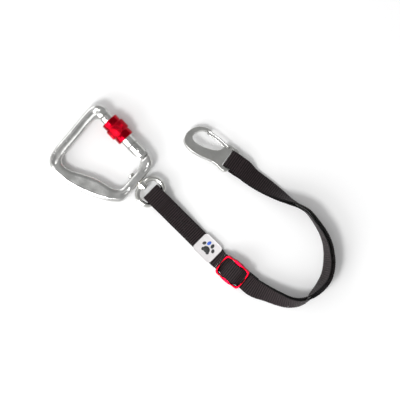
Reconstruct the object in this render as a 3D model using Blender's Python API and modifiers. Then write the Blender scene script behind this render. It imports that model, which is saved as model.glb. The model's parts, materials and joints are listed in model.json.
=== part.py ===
"""Adjustable dog tether: a screw-lock carabiner on a swivel eye, a ribbed webbing lead with a
tri-glide slider, and a flat snap hook. Metres, +Z up, lying on the floor plane Z = 0.

The tether frame has X along the swivel's axis, from the carabiner to the webbing, and starts where
that axis leaves the carabiner. The whole is then moved so that the origin is the middle of its base."""

import math

import bmesh
import bpy
from mathutils import Matrix, Vector

# Clearances
RUNNING_GAP = 0.0003
PIN_GAP = 0.0002
SEAM_GAP = 0.0005
STITCH_GAP = 0.00005
FLOOR_GAP = 0.0001

# Webbing size, which the eye, label, slider and hook are made to
WEBBING_WIDTH = 0.0200
WEBBING_THICKNESS = 0.0015

# Carabiner body, in its own plane
BODY_THICKNESS = 0.0105
BODY_ROUNDING = 0.0032
CARABINER_LENGTH = 0.0904
SPINE_WIDTH = 0.0122
SHORT_SIDE_WIDTH = 0.0100
SHORT_SIDE_HALF = 0.0185
BEAM_LOW_Y = -0.0502
NOSE_INSET = 0.0174
NOSE_STRAIGHT = 0.0040
NOSE_DOME = 0.0070
GROOVE_RADIUS = 0.0050
GROOVE_DEPTH = 0.0016
POCKET_RADIUS = 0.0022
POCKET_DEPTH = 0.0010
POCKET_START_Y = 0.0100
POCKET_END_Y = 0.0225

# Gate, along its own axis from the hinge rivet towards the nose
RIVET_X = -0.0222
RIVET_Y = 0.0257
RIVET_OFFSET = 0.0012
GATE_SLOPE = math.radians(6)
GATE_LENGTH = (CARABINER_LENGTH + RIVET_X - NOSE_INSET) / math.cos(GATE_SLOPE) - SEAM_GAP
GATE_RADIUS = 0.0067
GATE_FOOT_RADIUS = GATE_RADIUS + 0.00025
GATE_END_RADIUS = GATE_RADIUS + 0.0005
GATE_CHAMFER = 0.0007
FORK_SLOT = 0.0046
FORK_DEPTH = 0.0069
RIVET_RADIUS = 0.00145
RIVET_HEAD_RADIUS = 0.0022
LATCH_SLOT = 0.0038
LATCH_SLOT_DEPTH = 0.0064
LATCH_PIN_RADIUS = 0.0012
LATCH_PIN_INSET = 0.0034
CAM_RADIUS = 0.0053
CAM_LIFT_PER_RADIAN = 0.0020
CAM_RISE_START = math.radians(197)
PLUNGER_RADIUS = 0.0017
PLUNGER_LENGTH = 0.0062
SPRING_LENGTH = 0.0160
SPRING_WIRE_RADIUS = 0.00025
SPRING_TURNS = 8
STOP_RING_INSET = 0.0086
STOP_RING_WIRE_RADIUS = 0.0005
STOP_RING_GROOVE = 0.0007
STOP_RING_OPENING = math.radians(24)

# Lock sleeve
SLEEVE_START = 0.0179
SLEEVE_TO_NOSE = 0.0066
SLEEVE_LENGTH = GATE_LENGTH - SLEEVE_START - SLEEVE_TO_NOSE
SLEEVE_BORE_RADIUS = GATE_RADIUS + RUNNING_GAP
SLEEVE_COLLAR_RADIUS = SLEEVE_BORE_RADIUS + 0.00245
SLEEVE_BAND_RADIUS = SLEEVE_BORE_RADIUS + 0.00375
SLEEVE_BAND_LENGTH = 0.0113
SLEEVE_FRONT_COLLAR = 0.0072
RIB_COUNT = 36
RIB_DEPTH = 0.0004
SLEEVE_EDGE = 0.0005
O_RING_WIRE_RADIUS = 0.0006
O_RING_LIP = 0.0004

# Swivel and eye
POST_RADIUS = 0.0025
POST_HEAD_RADIUS = 0.0037
POST_HEAD_LENGTH = 0.0025
WASHER_THICKNESS = 0.0008
WASHER_RADIUS = 0.0048
BOSS_RADIUS = 0.0052
EYE_BAR_RADIUS = 0.0027
EYE_SIDE_GAP = 0.0017
EYE_HALF_WIDTH = WEBBING_WIDTH / 2 + EYE_SIDE_GAP + 2 * EYE_BAR_RADIUS
EYE_BAIL_X = 0.0256

# Webbing
LAYER_GAP = 0.0003
CURVE_LAYER_GAP = 0.0024
EYE_LOOP_HALF_HEIGHT = EYE_BAR_RADIUS + 0.0011
EYE_LOOP_FRONT_X = 0.0142
SEWN_START_X = 0.0400
SEWN_END_X = 0.0800
SEWN_SLOPE_START_Z = 0.0054
LEAD_YAW = math.radians(-4.6)
LEAD_START_X = 0.0250
LEAD_START_Y = -0.0005
LEAD_FLAT_X = 0.0845
STITCH_THREAD = 0.0005
STITCH_INSET = 0.0022
BARTACK_LENGTH = 0.0020
BARTACK_HEIGHT = 0.0004
BARTACK_INSET = 0.0025

# Label sleeve
LABEL_LENGTH = 0.0246
LABEL_WALL = 0.0009
LABEL_EDGE_WALL = 0.0010
LABEL_WIDTH = WEBBING_WIDTH + 2 * (RUNNING_GAP + LABEL_EDGE_WALL)
LABEL_ROUNDING = 0.0005
LABEL_X = 0.0991
LABEL_CORNER = 0.0040

# Slider
SLIDER_LENGTH = 0.0310
SLIDER_BAR = 0.0022
SLIDER_HEIGHT = 0.0044
SLIDER_SIDE_BAR = 0.0020
SLIDER_SIDE_GAP = 0.0002
SLIDER_ROUNDING = 0.0006
SLIDER_CORNER = 0.0040
SLIDER_BULGE = 0.0009
SLIDER_BULGE_HALF = 0.0050
SLIDER_CENTRE_BAR_WIDTH = 0.0056
SLIDER_CENTRE_BAR_HEIGHT = 0.0018
SLIDER_X = 0.1347
SLIDER_Y = -0.0085
SLIDER_Z = 0.0097
SLIDER_YAW = math.radians(1)
SLIDER_ROLL = math.radians(17)
SLIDER_PITCH = math.radians(-5)
WAVE_REACH = SLIDER_LENGTH / 2 + 0.0020
TAB_LENGTH = SLIDER_LENGTH / 2 + 0.0105

# Hook
HOOK_X = 0.0609
HOOK_Y = 0.0792
HOOK_Z = 0.0080
HOOK_YAW = math.radians(5)
HOOK_ROLL = math.radians(-20)
HOOK_THICKNESS = 0.0050
HOOK_ROUNDING = 0.0009
HOOK_END_X = 0.0018
HOOK_BAR_WIDTH = 0.0035
HOOK_SLOT_LENGTH = 0.0062
HOOK_SLOT_GAP = 0.0004
HOOK_SLOT_ROUNDING = 0.0012
HOOK_END_WALL = 0.0034
HOOK_WIRE_RADIUS = 0.0009
HOOK_LOOP_HALF_HEIGHT = HOOK_THICKNESS / 2 + 0.0008
HOOK_LOOP_REACH = 0.0080
HOOK_PIVOT = (-0.0126, 0.0100)
HOOK_LATCH = (-0.0394, 0.0117)

# The double strap's middle line from slider to hook: place, and roll in degrees from flat towards
# the outer side of the bend, where 90 stands it on its edge
STRAP_ROUTE = (
    (0.1780, -0.0024, 40), (0.1900, 0.0013, 48), (0.2000, 0.0055, 58),
    (0.2080, 0.0120, 70), (0.2125, 0.0200, 82), (0.2140, 0.0272, 95), (0.2148, 0.0380, 105),
    (0.2136, 0.0488, 112), (0.2100, 0.0575, 113), (0.2048, 0.0652, 112), (0.1985, 0.0720, 108),
    (0.1908, 0.0785, 104), (0.1815, 0.0835, 100), (0.1714, 0.0870, 96), (0.1558, 0.0906, 92),
    (0.1480, 0.0900, 90), (0.1403, 0.0883, 86), (0.1310, 0.0862, 75), (0.1217, 0.0846, 60),
    (0.1033, 0.0820, 38), (0.0863, 0.0802, 26),
)

parts = None
cutters = None


def clear_scene():
    for obj in list(bpy.data.objects):
        bpy.data.objects.remove(obj, do_unlink=True)


def new_collection(name, helper=False):
    group = bpy.data.collections.new(name)
    bpy.context.scene.collection.children.link(group)
    group.hide_render = helper
    return group


def make_material(name, colour, roughness, metallic):
    mat = bpy.data.materials.new(name)
    mat.use_nodes = True
    shader = mat.node_tree.nodes["Principled BSDF"]
    shader.inputs["Base Color"].default_value = (*colour, 1.0)
    shader.inputs["Roughness"].default_value = roughness
    shader.inputs["Metallic"].default_value = metallic
    mat.diffuse_color = (*colour, 1.0)
    return mat


def make_frame(name, parent, location=(0, 0, 0), rotation=(0, 0, 0)):
    """An empty that a group of pieces, or one moving piece, is placed by."""
    empty = bpy.data.objects.new(name, None)
    parts.objects.link(empty)
    empty.parent = parent
    empty.location = location
    empty.rotation_euler = rotation
    return empty


def place(obj, parent, location=(0, 0, 0), rotation=(0, 0, 0)):
    obj.parent = parent
    obj.location = location
    obj.rotation_euler = rotation
    return obj


def finish(obj, name, material):
    """Names a finished piece and gives it its material."""
    obj.name = name
    obj.data.name = name
    obj.data.materials.clear()
    obj.data.materials.append(material)
    return obj


def as_mesh(obj):
    """The object's evaluated shape as one closed mesh, in the object's place."""
    bpy.context.view_layer.update()
    graph = bpy.context.evaluated_depsgraph_get()
    mesh = bpy.data.meshes.new_from_object(obj.evaluated_get(graph))
    shape = bmesh.new()
    shape.from_mesh(mesh)
    bmesh.ops.remove_doubles(shape, verts=shape.verts, dist=0.000005)
    bmesh.ops.recalc_face_normals(shape, faces=shape.faces)
    shape.to_mesh(mesh)
    shape.free()
    mesh.shade_smooth()
    mesh.set_sharp_from_angle(angle=math.radians(35))
    solid = bpy.data.objects.new(obj.name, mesh)
    parts.objects.link(solid)
    place(solid, obj.parent, obj.location, obj.rotation_euler)
    bpy.data.objects.remove(obj, do_unlink=True)
    return solid


def boolean(obj, tool, operation):
    """Cuts or joins with a helper object, which is hidden in the cutters' collection."""
    modifier = obj.modifiers.new(tool.name, "BOOLEAN")
    modifier.operation = operation
    modifier.solver = "EXACT"
    modifier.object = tool
    for group in list(tool.users_collection):
        group.objects.unlink(tool)
    cutters.objects.link(tool)
    tool.hide_render = True
    tool.display_type = "WIRE"
    return obj


def cut(obj, tool):
    return boolean(obj, tool, "DIFFERENCE")


def join(obj, tool):
    return boolean(obj, tool, "UNION")


def cylinder(name, radius, length, sides=32):
    """A cylinder along local Z, centred."""
    bpy.ops.mesh.primitive_cylinder_add(vertices=sides, radius=radius, depth=length)
    obj = bpy.context.object
    obj.name = name
    for group in list(obj.users_collection):
        group.objects.unlink(obj)
    parts.objects.link(obj)
    return obj


def block(name, size):
    """A box of the given size, centred, with its scale applied."""
    bpy.ops.mesh.primitive_cube_add(size=1)
    obj = bpy.context.object
    obj.name = name
    obj.data.transform(Matrix.Diagonal((*size, 1.0)))
    for group in list(obj.users_collection):
        group.objects.unlink(obj)
    parts.objects.link(obj)
    return obj


def turned(name, profile, parent, closed=False, steps=32):
    """A shape turned about local X from a profile of (along, radius) points."""
    mesh = bpy.data.meshes.new(name)
    count = len(profile)
    edges = [(i, i + 1) for i in range(count - 1)]
    if closed:
        edges.append((count - 1, 0))
    mesh.from_pydata([(x, r, 0) for x, r in profile], edges, [])
    obj = bpy.data.objects.new(name, mesh)
    parts.objects.link(obj)
    screw = obj.modifiers.new("turn", "SCREW")
    screw.axis = "X"
    screw.steps = steps
    screw.render_steps = steps
    screw.use_merge_vertices = True
    screw.merge_threshold = 0.00001
    place(obj, parent)
    return as_mesh(obj)


def spline_curve(name, loops, dimensions="3D", closed=True, corners=(), resolution=6):
    """A curve object through each loop's points, smooth except at the corner points of the first."""
    curve = bpy.data.curves.new(name, "CURVE")
    curve.dimensions = dimensions
    curve.resolution_u = resolution
    for number, points in enumerate(loops):
        spline = curve.splines.new("BEZIER")
        spline.bezier_points.add(len(points) - 1)
        spline.use_cyclic_u = closed
        for index, (knot, point) in enumerate(zip(spline.bezier_points, points)):
            knot.co = (*point, 0)[:3]
            sharp = number == 0 and index in corners
            knot.handle_left_type = "VECTOR" if sharp else "AUTO"
            knot.handle_right_type = "VECTOR" if sharp else "AUTO"
    obj = bpy.data.objects.new(name, curve)
    parts.objects.link(obj)
    return obj


def plate(name, loops, thickness, parent, rounding=0, corners=(), resolution=6):
    """A flat piece in local XY with smooth outlines, the later loops being its holes."""
    obj = spline_curve(name, loops, "2D", True, corners, resolution)
    curve = obj.data
    curve.fill_mode = "BOTH"
    curve.extrude = thickness / 2 - rounding
    curve.bevel_depth = rounding
    curve.offset = -rounding
    curve.bevel_resolution = 1 if rounding else 0
    place(obj, parent)
    return as_mesh(obj)


def poly_plate(name, points, thickness, parent):
    """A flat piece in local XY with straight edges between its points."""
    curve = bpy.data.curves.new(name, "CURVE")
    curve.dimensions = "2D"
    curve.fill_mode = "BOTH"
    curve.extrude = thickness / 2
    spline = curve.splines.new("POLY")
    spline.points.add(len(points) - 1)
    spline.use_cyclic_u = True
    for knot, (x, y) in zip(spline.points, points):
        knot.co = (x, y, 0, 1)
    obj = bpy.data.objects.new(name, curve)
    parts.objects.link(obj)
    place(obj, parent)
    return as_mesh(obj)


def wire(name, points, radius, parent, closed=False, smooth=True, resolution=6, sides=2):
    """A round wire or bar along the points."""
    if smooth:
        obj = spline_curve(name, [points], "3D", closed, (), resolution)
    else:
        curve = bpy.data.curves.new(name, "CURVE")
        curve.dimensions = "3D"
        spline = curve.splines.new("POLY")
        spline.points.add(len(points) - 1)
        spline.use_cyclic_u = closed
        for knot, point in zip(spline.points, points):
            knot.co = (*point, 1)
        obj = bpy.data.objects.new(name, curve)
        parts.objects.link(obj)
    obj.data.bevel_depth = radius
    obj.data.bevel_resolution = sides
    obj.data.use_fill_caps = not closed
    place(obj, parent)
    return as_mesh(obj)


def band(name, points, parent, width=WEBBING_WIDTH, thickness=WEBBING_THICKNESS, resolution=5):
    """Webbing bent in local XY only, its width along local Z: a ribbon given its thickness."""
    obj = spline_curve(name, [points], "2D", False, (), resolution)
    obj.data.fill_mode = "NONE"
    obj.data.extrude = width / 2
    place(obj, parent)
    ribbon = as_mesh(obj)
    return thicken(ribbon, thickness)


def thicken(ribbon, thickness):
    solidify = ribbon.modifiers.new("thickness", "SOLIDIFY")
    solidify.thickness = thickness
    solidify.offset = 0
    solidify.use_even_offset = True
    return as_mesh(ribbon)


def arc(centre, radius, start, end, steps):
    """Points along an arc, by angle in radians."""
    return [
        (
            centre[0] + radius * math.cos(start + (end - start) * i / steps),
            centre[1] + radius * math.sin(start + (end - start) * i / steps),
        )
        for i in range(steps + 1)
    ]


def carabiner_outline():
    """The open ring, from the nose round the spine, beam and short side to the hinge, and back."""
    outer_x = -CARABINER_LENGTH
    inner_x = outer_x + SPINE_WIDTH
    low = BEAM_LOW_Y
    side = -SHORT_SIDE_WIDTH
    outer = [
        (outer_x + 0.0156, 0.0374), (outer_x + 0.0095, 0.0366), (outer_x + 0.0038, 0.0334),
        (outer_x + 0.0007, 0.0272), (outer_x, 0.0190), (outer_x, -0.0100), (outer_x, low + 0.0182),
        (outer_x + 0.0022, low + 0.0092), (outer_x + 0.0074, low + 0.0033),
        (outer_x + 0.0149, low + 0.0005), (outer_x + 0.0244, low), (outer_x + 0.0350, low + 0.0004),
        (-0.0358, low + 0.0050), (-0.0197, low + 0.0109), (-0.0060, -0.0316), (-0.0009, -0.0262),
        (0.0, -SHORT_SIDE_HALF), (0.0, 0.0), (0.0, SHORT_SIDE_HALF - 0.0010),
        (-0.0022, 0.0238), (-0.0072, 0.0276), (-0.0128, 0.0298),
    ]
    inner = [
        (-0.0138, 0.0182), (-0.0118, 0.0145), (side, 0.0084), (side, 0.0), (side, -0.0102),
        (side - 0.0014, -0.0179), (-0.0168, -0.0222), (-0.0248, low + 0.0266), (-0.0370, low + 0.0244),
        (outer_x + 0.0379, low + 0.0184), (outer_x + 0.0231, low + 0.0130),
        (outer_x + 0.0162, low + 0.0136), (inner_x, low + 0.0184), (inner_x, low + 0.0252),
        (inner_x, 0.0), (inner_x, 0.0155), (inner_x + 0.0012, 0.0208), (outer_x + 0.0156, 0.0233),
    ]
    corners = (0, len(outer) - 1, len(outer), len(outer) + len(inner) - 1)
    return outer + inner, corners


def groove_cutter(name, points, radius, depth, parent, face):
    """A bar that presses a groove of the given depth in the upper (+1) or lower (-1) face.
    It lifts clear of the face at both ends, so the groove fades out."""
    level = face * (BODY_THICKNESS / 2 + radius - depth)
    lifted = face * depth
    route = [(x, y, level) for x, y in points]
    route[0] = (*points[0], level + lifted)
    route[-1] = (*points[-1], level + lifted)
    return wire(name, route, radius, parent, sides=4)


def make_carabiner_body(frame, gate_frame, material):
    outline, corners = carabiner_outline()
    body = plate("body", [outline], BODY_THICKNESS, frame, BODY_ROUNDING, corners, 4)
    middle = SPINE_WIDTH / 2 - CARABINER_LENGTH
    spine = [(middle + 0.0043, 0.0296), (middle + 0.0013, 0.0262), (middle, 0.0190), (middle, -0.0050),
             (middle, BEAM_LOW_Y + 0.0212), (middle + 0.0015, BEAM_LOW_Y + 0.0117),
             (middle + 0.0048, BEAM_LOW_Y + 0.0077)]
    pocket_x = -0.0042
    for face in (1, -1):
        cut(body, groove_cutter(f"spine_groove_{face}", spine, GROOVE_RADIUS, GROOVE_DEPTH, frame, face))
        for side in (1, -1):
            middle_y = (POCKET_START_Y + POCKET_END_Y) / 2
            route = [(pocket_x, side * POCKET_START_Y), (pocket_x, side * middle_y),
                     (pocket_x - 0.0022, side * POCKET_END_Y)]
            name = f"pocket_{face}_{side}"
            cut(body, groove_cutter(name, route, POCKET_RADIUS, POCKET_DEPTH, frame, face))
    bore = cylinder("swivel_bore", POST_RADIUS + RUNNING_GAP, 3 * SHORT_SIDE_WIDTH)
    cut(body, place(bore, frame, (-SHORT_SIDE_WIDTH / 2, 0, 0), (0, math.pi / 2, 0)))
    clearance = GATE_END_RADIUS + SEAM_GAP
    cut(body, place(cylinder("hinge_clearance", clearance, 0.03, 48), gate_frame))
    join(body, make_nose(gate_frame))
    join(body, make_hook_tongue(gate_frame))
    join(body, make_hinge_tongue(gate_frame))
    hole = cylinder("rivet_hole", RIVET_RADIUS + RUNNING_GAP, 0.03)
    cut(body, place(hole, gate_frame))
    return finish(body, "carabiner_body", material)


def make_nose(gate_frame):
    """The round end that the gate meets, running back into the ring's corner."""
    start = -GATE_LENGTH - SEAM_GAP
    chamfer = 0.0005
    steps = 8
    profile = [(start, 0), (start, GATE_RADIUS - chamfer), (start - chamfer, GATE_RADIUS)]
    for i in range(steps + 1):
        angle = math.pi / 2 * i / steps
        x = start - NOSE_STRAIGHT - NOSE_DOME * math.sin(angle)
        profile.append((x, GATE_RADIUS * math.cos(angle)))
    profile[-1] = (x, 0)
    nose = turned("nose", profile, gate_frame)
    nose.location = (0, -RIVET_OFFSET, 0)
    return nose


def make_hook_tongue(gate_frame):
    """The flat tongue on the nose, notched on its inner side for the gate's latch pin."""
    y = -RIVET_OFFSET
    pin_x = -GATE_LENGTH + LATCH_PIN_INSET
    notch = LATCH_PIN_RADIUS + RUNNING_GAP
    end = -GATE_LENGTH + LATCH_SLOT_DEPTH - 0.0010
    root = -GATE_LENGTH - SEAM_GAP - 0.0020
    low = y - 0.0032
    high = y + 0.0042
    outline = [(root, high), (end - 0.0008, high), (end, high - 0.0012), (end, low)]
    outline += [(pin_x + notch, low)]
    outline += arc((pin_x, y), notch, 0, math.pi, 8)
    outline += [(pin_x - notch, low), (root, low)]
    return poly_plate("hook_tongue", outline, LATCH_SLOT - 2 * RUNNING_GAP, gate_frame)


def make_hinge_tongue(gate_frame):
    """The flat tongue that the gate's fork turns on, with the cam that the plunger presses."""
    steps = 28
    start = math.radians(100)
    end = math.radians(262)
    root = GATE_END_RADIUS + 0.0035
    half = 0.0046
    outline = [(root, half)]
    for i in range(steps + 1):
        angle = start + (end - start) * i / steps
        radius = CAM_RADIUS + CAM_LIFT_PER_RADIAN * max(0, angle - CAM_RISE_START)
        outline.append((radius * math.cos(angle), radius * math.sin(angle)))
    outline.append((root, -half - 0.0006))
    return poly_plate("hinge_tongue", outline, FORK_SLOT - 2 * RUNNING_GAP, gate_frame)


def make_gate_barrel(frame, material):
    """Turned bar, forked at the hinge and slotted at the nose, bored for the plunger's spring."""
    chamfer = GATE_CHAMFER
    ring = -STOP_RING_INSET
    half = STOP_RING_WIRE_RADIUS + PIN_GAP
    depth = STOP_RING_GROOVE
    foot = GATE_END_RADIUS + 0.0010
    profile = [
        (-GATE_LENGTH, 0), (-GATE_LENGTH, GATE_RADIUS - chamfer), (-GATE_LENGTH + chamfer, GATE_RADIUS),
        (ring - half, GATE_RADIUS), (ring - half, GATE_RADIUS - depth),
        (ring + half, GATE_RADIUS - depth), (ring + half, GATE_FOOT_RADIUS),
        (foot, GATE_FOOT_RADIUS), (foot, 0),
    ]
    barrel = turned("barrel", profile, frame)
    barrel.location = (0, -RIVET_OFFSET, 0)
    bore_length = FORK_DEPTH + PLUNGER_LENGTH + SPRING_LENGTH
    bore = cylinder("spring_bore", PLUNGER_RADIUS + RUNNING_GAP, bore_length)
    place(bore, frame, (-bore_length / 2, -RIVET_OFFSET, 0), (0, math.pi / 2, 0))
    cut(barrel, bore)
    fork = block("fork_slot", (FORK_DEPTH + 0.02, 0.03, FORK_SLOT))
    cut(barrel, place(fork, frame, (0.01 - FORK_DEPTH / 2, 0, 0)))
    slot = block("latch_slot", (LATCH_SLOT_DEPTH + 0.01, 0.03, LATCH_SLOT))
    cut(barrel, place(slot, frame, (-GATE_LENGTH - 0.005 + LATCH_SLOT_DEPTH / 2, 0, 0)))
    reach = 0.014
    outline = [(0, -reach), (reach, -reach), (reach, reach), (0, reach)]
    outline += arc((0, 0), GATE_END_RADIUS, math.pi / 2, -math.pi / 2, 20)
    cut(barrel, poly_plate("fork_end", outline, 0.03, frame))
    cut(barrel, place(cylinder("rivet_hole_in_fork", RIVET_RADIUS + PIN_GAP, 0.03), frame))
    for face in (1, -1):
        sink = cylinder(f"rivet_seat_{face}", RIVET_HEAD_RADIUS + PIN_GAP, 0.004)
        cut(barrel, place(sink, frame, (0, 0, face * (rivet_seat_level() + 0.002))))
    pin_x = -GATE_LENGTH + LATCH_PIN_INSET
    hole = cylinder("latch_pin_hole", LATCH_PIN_RADIUS + PIN_GAP, 0.03)
    cut(barrel, place(hole, frame, (pin_x, -RIVET_OFFSET, 0)))
    return finish(barrel, "gate_barrel", material)


def rivet_seat_level():
    return GATE_FOOT_RADIUS - 0.0012


def make_gate_rivet(frame, material):
    seat = rivet_seat_level() + PIN_GAP
    top = seat + 0.0008
    r = RIVET_RADIUS
    head = RIVET_HEAD_RADIUS
    half = [(0, r), (seat, r), (seat, head), (top - 0.0003, head), (top, head - 0.0006), (top, 0)]
    profile = [(-x, y) for x, y in reversed(half[1:])] + half[1:]
    rivet = turned("rivet", profile, frame, steps=24)
    rivet.rotation_euler = (0, math.pi / 2, 0)
    return finish(rivet, "gate_rivet", material)


def make_latch_pin(frame, material):
    pin_x = -GATE_LENGTH + LATCH_PIN_INSET
    length = 2 * math.sqrt(GATE_RADIUS**2 - LATCH_PIN_RADIUS**2) - 0.0002
    pin = cylinder("pin", LATCH_PIN_RADIUS, length, 24)
    place(pin, frame, (pin_x, -RIVET_OFFSET, 0))
    return finish(pin, "latch_pin", material)


def make_plunger(frame, material):
    tip = -CAM_RADIUS - 0.0006
    back = tip - PLUNGER_LENGTH
    r = PLUNGER_RADIUS
    profile = [(back, 0), (back, r), (tip - 0.0016, r), (tip - 0.0006, 0.6 * r), (tip, 0.35 * r), (tip, 0)]
    plunger = turned("plunger", profile, frame, steps=20)
    plunger.location = (0, -RIVET_OFFSET, 0)
    return finish(plunger, "gate_plunger", material)


def make_spring(frame, material):
    """The coil behind the plunger, down to the bottom of the bore."""
    start = -CAM_RADIUS - 0.0006 - PLUNGER_LENGTH - SPRING_WIRE_RADIUS - PIN_GAP
    end = -FORK_DEPTH - PLUNGER_LENGTH - SPRING_LENGTH + SPRING_WIRE_RADIUS + PIN_GAP
    coil = PLUNGER_RADIUS - SPRING_WIRE_RADIUS
    per_turn = 10
    count = SPRING_TURNS * per_turn
    points = []
    for i in range(count + 1):
        angle = 2 * math.pi * i / per_turn
        x = start + (end - start) * i / count
        points.append((x, coil * math.cos(angle) - RIVET_OFFSET, coil * math.sin(angle)))
    spring = wire("spring", points, SPRING_WIRE_RADIUS, frame, smooth=False, sides=1)
    return finish(spring, "gate_spring", material)


def make_stop_ring(frame, material):
    """The open wire ring, in the gate's groove, that the sleeve stops against."""
    radius = GATE_RADIUS - STOP_RING_GROOVE + PIN_GAP + STOP_RING_WIRE_RADIUS
    opening = STOP_RING_OPENING
    count = 28
    points = []
    for i in range(count + 1):
        angle = -math.pi / 2 + opening / 2 + (2 * math.pi - opening) * i / count
        y = radius * math.cos(angle) - RIVET_OFFSET
        points.append((-STOP_RING_INSET, y, radius * math.sin(angle)))
    ring = wire("ring", points, STOP_RING_WIRE_RADIUS, frame, smooth=False)
    return finish(ring, "sleeve_stop_ring", material)


def make_lock_sleeve(frame, material):
    """The turned sleeve round the gate, with a ribbed grip band and a groove inside for its ring."""
    low = -SLEEVE_START
    high = low - SLEEVE_LENGTH
    band_high = high + SLEEVE_FRONT_COLLAR
    band_low = band_high + SLEEVE_BAND_LENGTH
    bore = SLEEVE_BORE_RADIUS
    collar = SLEEVE_COLLAR_RADIUS
    core = SLEEVE_BAND_RADIUS - RIB_DEPTH - 0.0001
    edge = SLEEVE_EDGE
    groove = bore + O_RING_LIP + 2 * O_RING_WIRE_RADIUS
    middle = (low + high) / 2
    half_groove = O_RING_WIRE_RADIUS + 0.0003
    profile = [
        (low, bore + edge), (low, collar - edge), (low - edge, collar), (band_low, collar),
        (band_low - edge, core), (band_high + edge, core), (band_high, collar), (high + edge, collar),
        (high, collar - edge), (high, bore + edge), (high + edge, bore),
        (middle - half_groove, bore), (middle - half_groove, groove),
        (middle + half_groove, groove), (middle + half_groove, bore), (low - edge, bore),
    ]
    sleeve = turned("sleeve", profile, frame, closed=True, steps=36)
    sleeve.location = (0, -RIVET_OFFSET, 0)
    valley = core - 0.0003
    outer = []
    for i in range(RIB_COUNT):
        step = 2 * math.pi / RIB_COUNT
        for share, radius in ((0.0, valley), (0.25, SLEEVE_BAND_RADIUS), (0.65, SLEEVE_BAND_RADIUS)):
            angle = step * (i + share)
            outer.append((radius * math.cos(angle), radius * math.sin(angle)))
    ribs = poly_plate("ribs", outer, SLEEVE_BAND_LENGTH - 4 * edge, frame)
    place(ribs, frame, ((band_low + band_high) / 2, -RIVET_OFFSET, 0), (0, math.pi / 2, 0))
    hollow = cylinder("rib_bore", core - 0.0006, SLEEVE_BAND_LENGTH, 48)
    place(hollow, frame, ((band_low + band_high) / 2, -RIVET_OFFSET, 0), (0, math.pi / 2, 0))
    cut(ribs, hollow)
    join(sleeve, ribs)
    return finish(sleeve, "lock_sleeve", material)


def make_o_ring(frame, material):
    radius = GATE_RADIUS + 2 * RUNNING_GAP + O_RING_WIRE_RADIUS
    middle = -SLEEVE_START - SLEEVE_LENGTH / 2
    bpy.ops.mesh.primitive_torus_add(
        major_radius=radius, minor_radius=O_RING_WIRE_RADIUS, major_segments=28, minor_segments=6
    )
    ring = bpy.context.object
    for group in list(ring.users_collection):
        group.objects.unlink(ring)
    parts.objects.link(ring)
    place(ring, frame, (middle, -RIVET_OFFSET, 0), (0, math.pi / 2, 0))
    return finish(ring, "sleeve_o_ring", material)


def make_swivel(frame, post_material, washer_material):
    """The riveted post, with its head inside the ring, and the washer under the eye."""
    head_x = -SHORT_SIDE_WIDTH - RUNNING_GAP
    end_x = eye_base_x() + 2 * EYE_BAR_RADIUS + RUNNING_GAP
    r = POST_RADIUS
    head = POST_HEAD_RADIUS
    length = POST_HEAD_LENGTH
    profile = [
        (head_x - length, 0), (head_x - length, head - 0.0010), (head_x - length + 0.0008, head),
        (head_x, head), (head_x, r), (end_x, r), (end_x, head), (end_x + 0.0012, head),
        (end_x + length - 0.0004, 0.6 * head), (end_x + length, 0),
    ]
    post = finish(turned("post", profile, frame, steps=32), "swivel_post", post_material)
    inner = POST_RADIUS + RUNNING_GAP
    start = RUNNING_GAP
    stop = start + WASHER_THICKNESS
    ring = [(start, inner), (stop, inner), (stop, WASHER_RADIUS), (start, WASHER_RADIUS)]
    washer = turned("washer", ring, frame, closed=True, steps=32)
    return post, finish(washer, "swivel_washer", washer_material)


def eye_base_x():
    """Where the eye's base starts, past the washer."""
    return WASHER_THICKNESS + 2 * RUNNING_GAP


def make_eye(frame, material):
    base = eye_base_x() + EYE_BAR_RADIUS
    wide = EYE_HALF_WIDTH - EYE_BAR_RADIUS
    half = [
        (base, 0.0055), (base + 0.0022, wide - 0.0036), (base + 0.0070, wide - 0.0004),
        (base + 0.0125, wide), (EYE_BAIL_X - 0.0042, wide - 0.0014), (EYE_BAIL_X - 0.0010, wide - 0.0064),
    ]
    route = [(base, 0)] + half + [(EYE_BAIL_X, 0)] + [(x, -y) for x, y in reversed(half)]
    eye = wire("eye", [(x, y, 0) for x, y in route], EYE_BAR_RADIUS, frame, closed=True, resolution=4)
    length = 2 * EYE_BAR_RADIUS
    boss = cylinder("eye_boss", BOSS_RADIUS, length - 0.0001, 32)
    join(eye, place(boss, frame, (eye_base_x() + length / 2, 0, 0), (0, math.pi / 2, 0)))
    bore = cylinder("eye_bore", POST_RADIUS + RUNNING_GAP, 4 * length)
    cut(eye, place(bore, frame, (eye_base_x() + length / 2, 0, 0), (0, math.pi / 2, 0)))
    return finish(eye, "swivel_eye", material)


def layer_offset(gap=LAYER_GAP):
    """Half the distance between the middles of two layers of webbing."""
    return (WEBBING_THICKNESS + gap) / 2


def sewn_level(x):
    """Height of the plane between the lead's two layers, where they are sewn."""
    low = WEBBING_THICKNESS + LAYER_GAP / 2 + FLOOR_GAP
    share = (x - SEWN_START_X) / (LEAD_FLAT_X - SEWN_START_X)
    return SEWN_SLOPE_START_Z + (low - SEWN_SLOPE_START_Z) * share


def lead_level():
    """Height of the single layer's middle, from where the sewn part ends to the label's end."""
    return sewn_level(LEAD_FLAT_X) + layer_offset()


def sewn_angle():
    run = LEAD_FLAT_X - SEWN_START_X
    return math.atan2(sewn_level(SEWN_START_X) - sewn_level(LEAD_FLAT_X), run)


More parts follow.
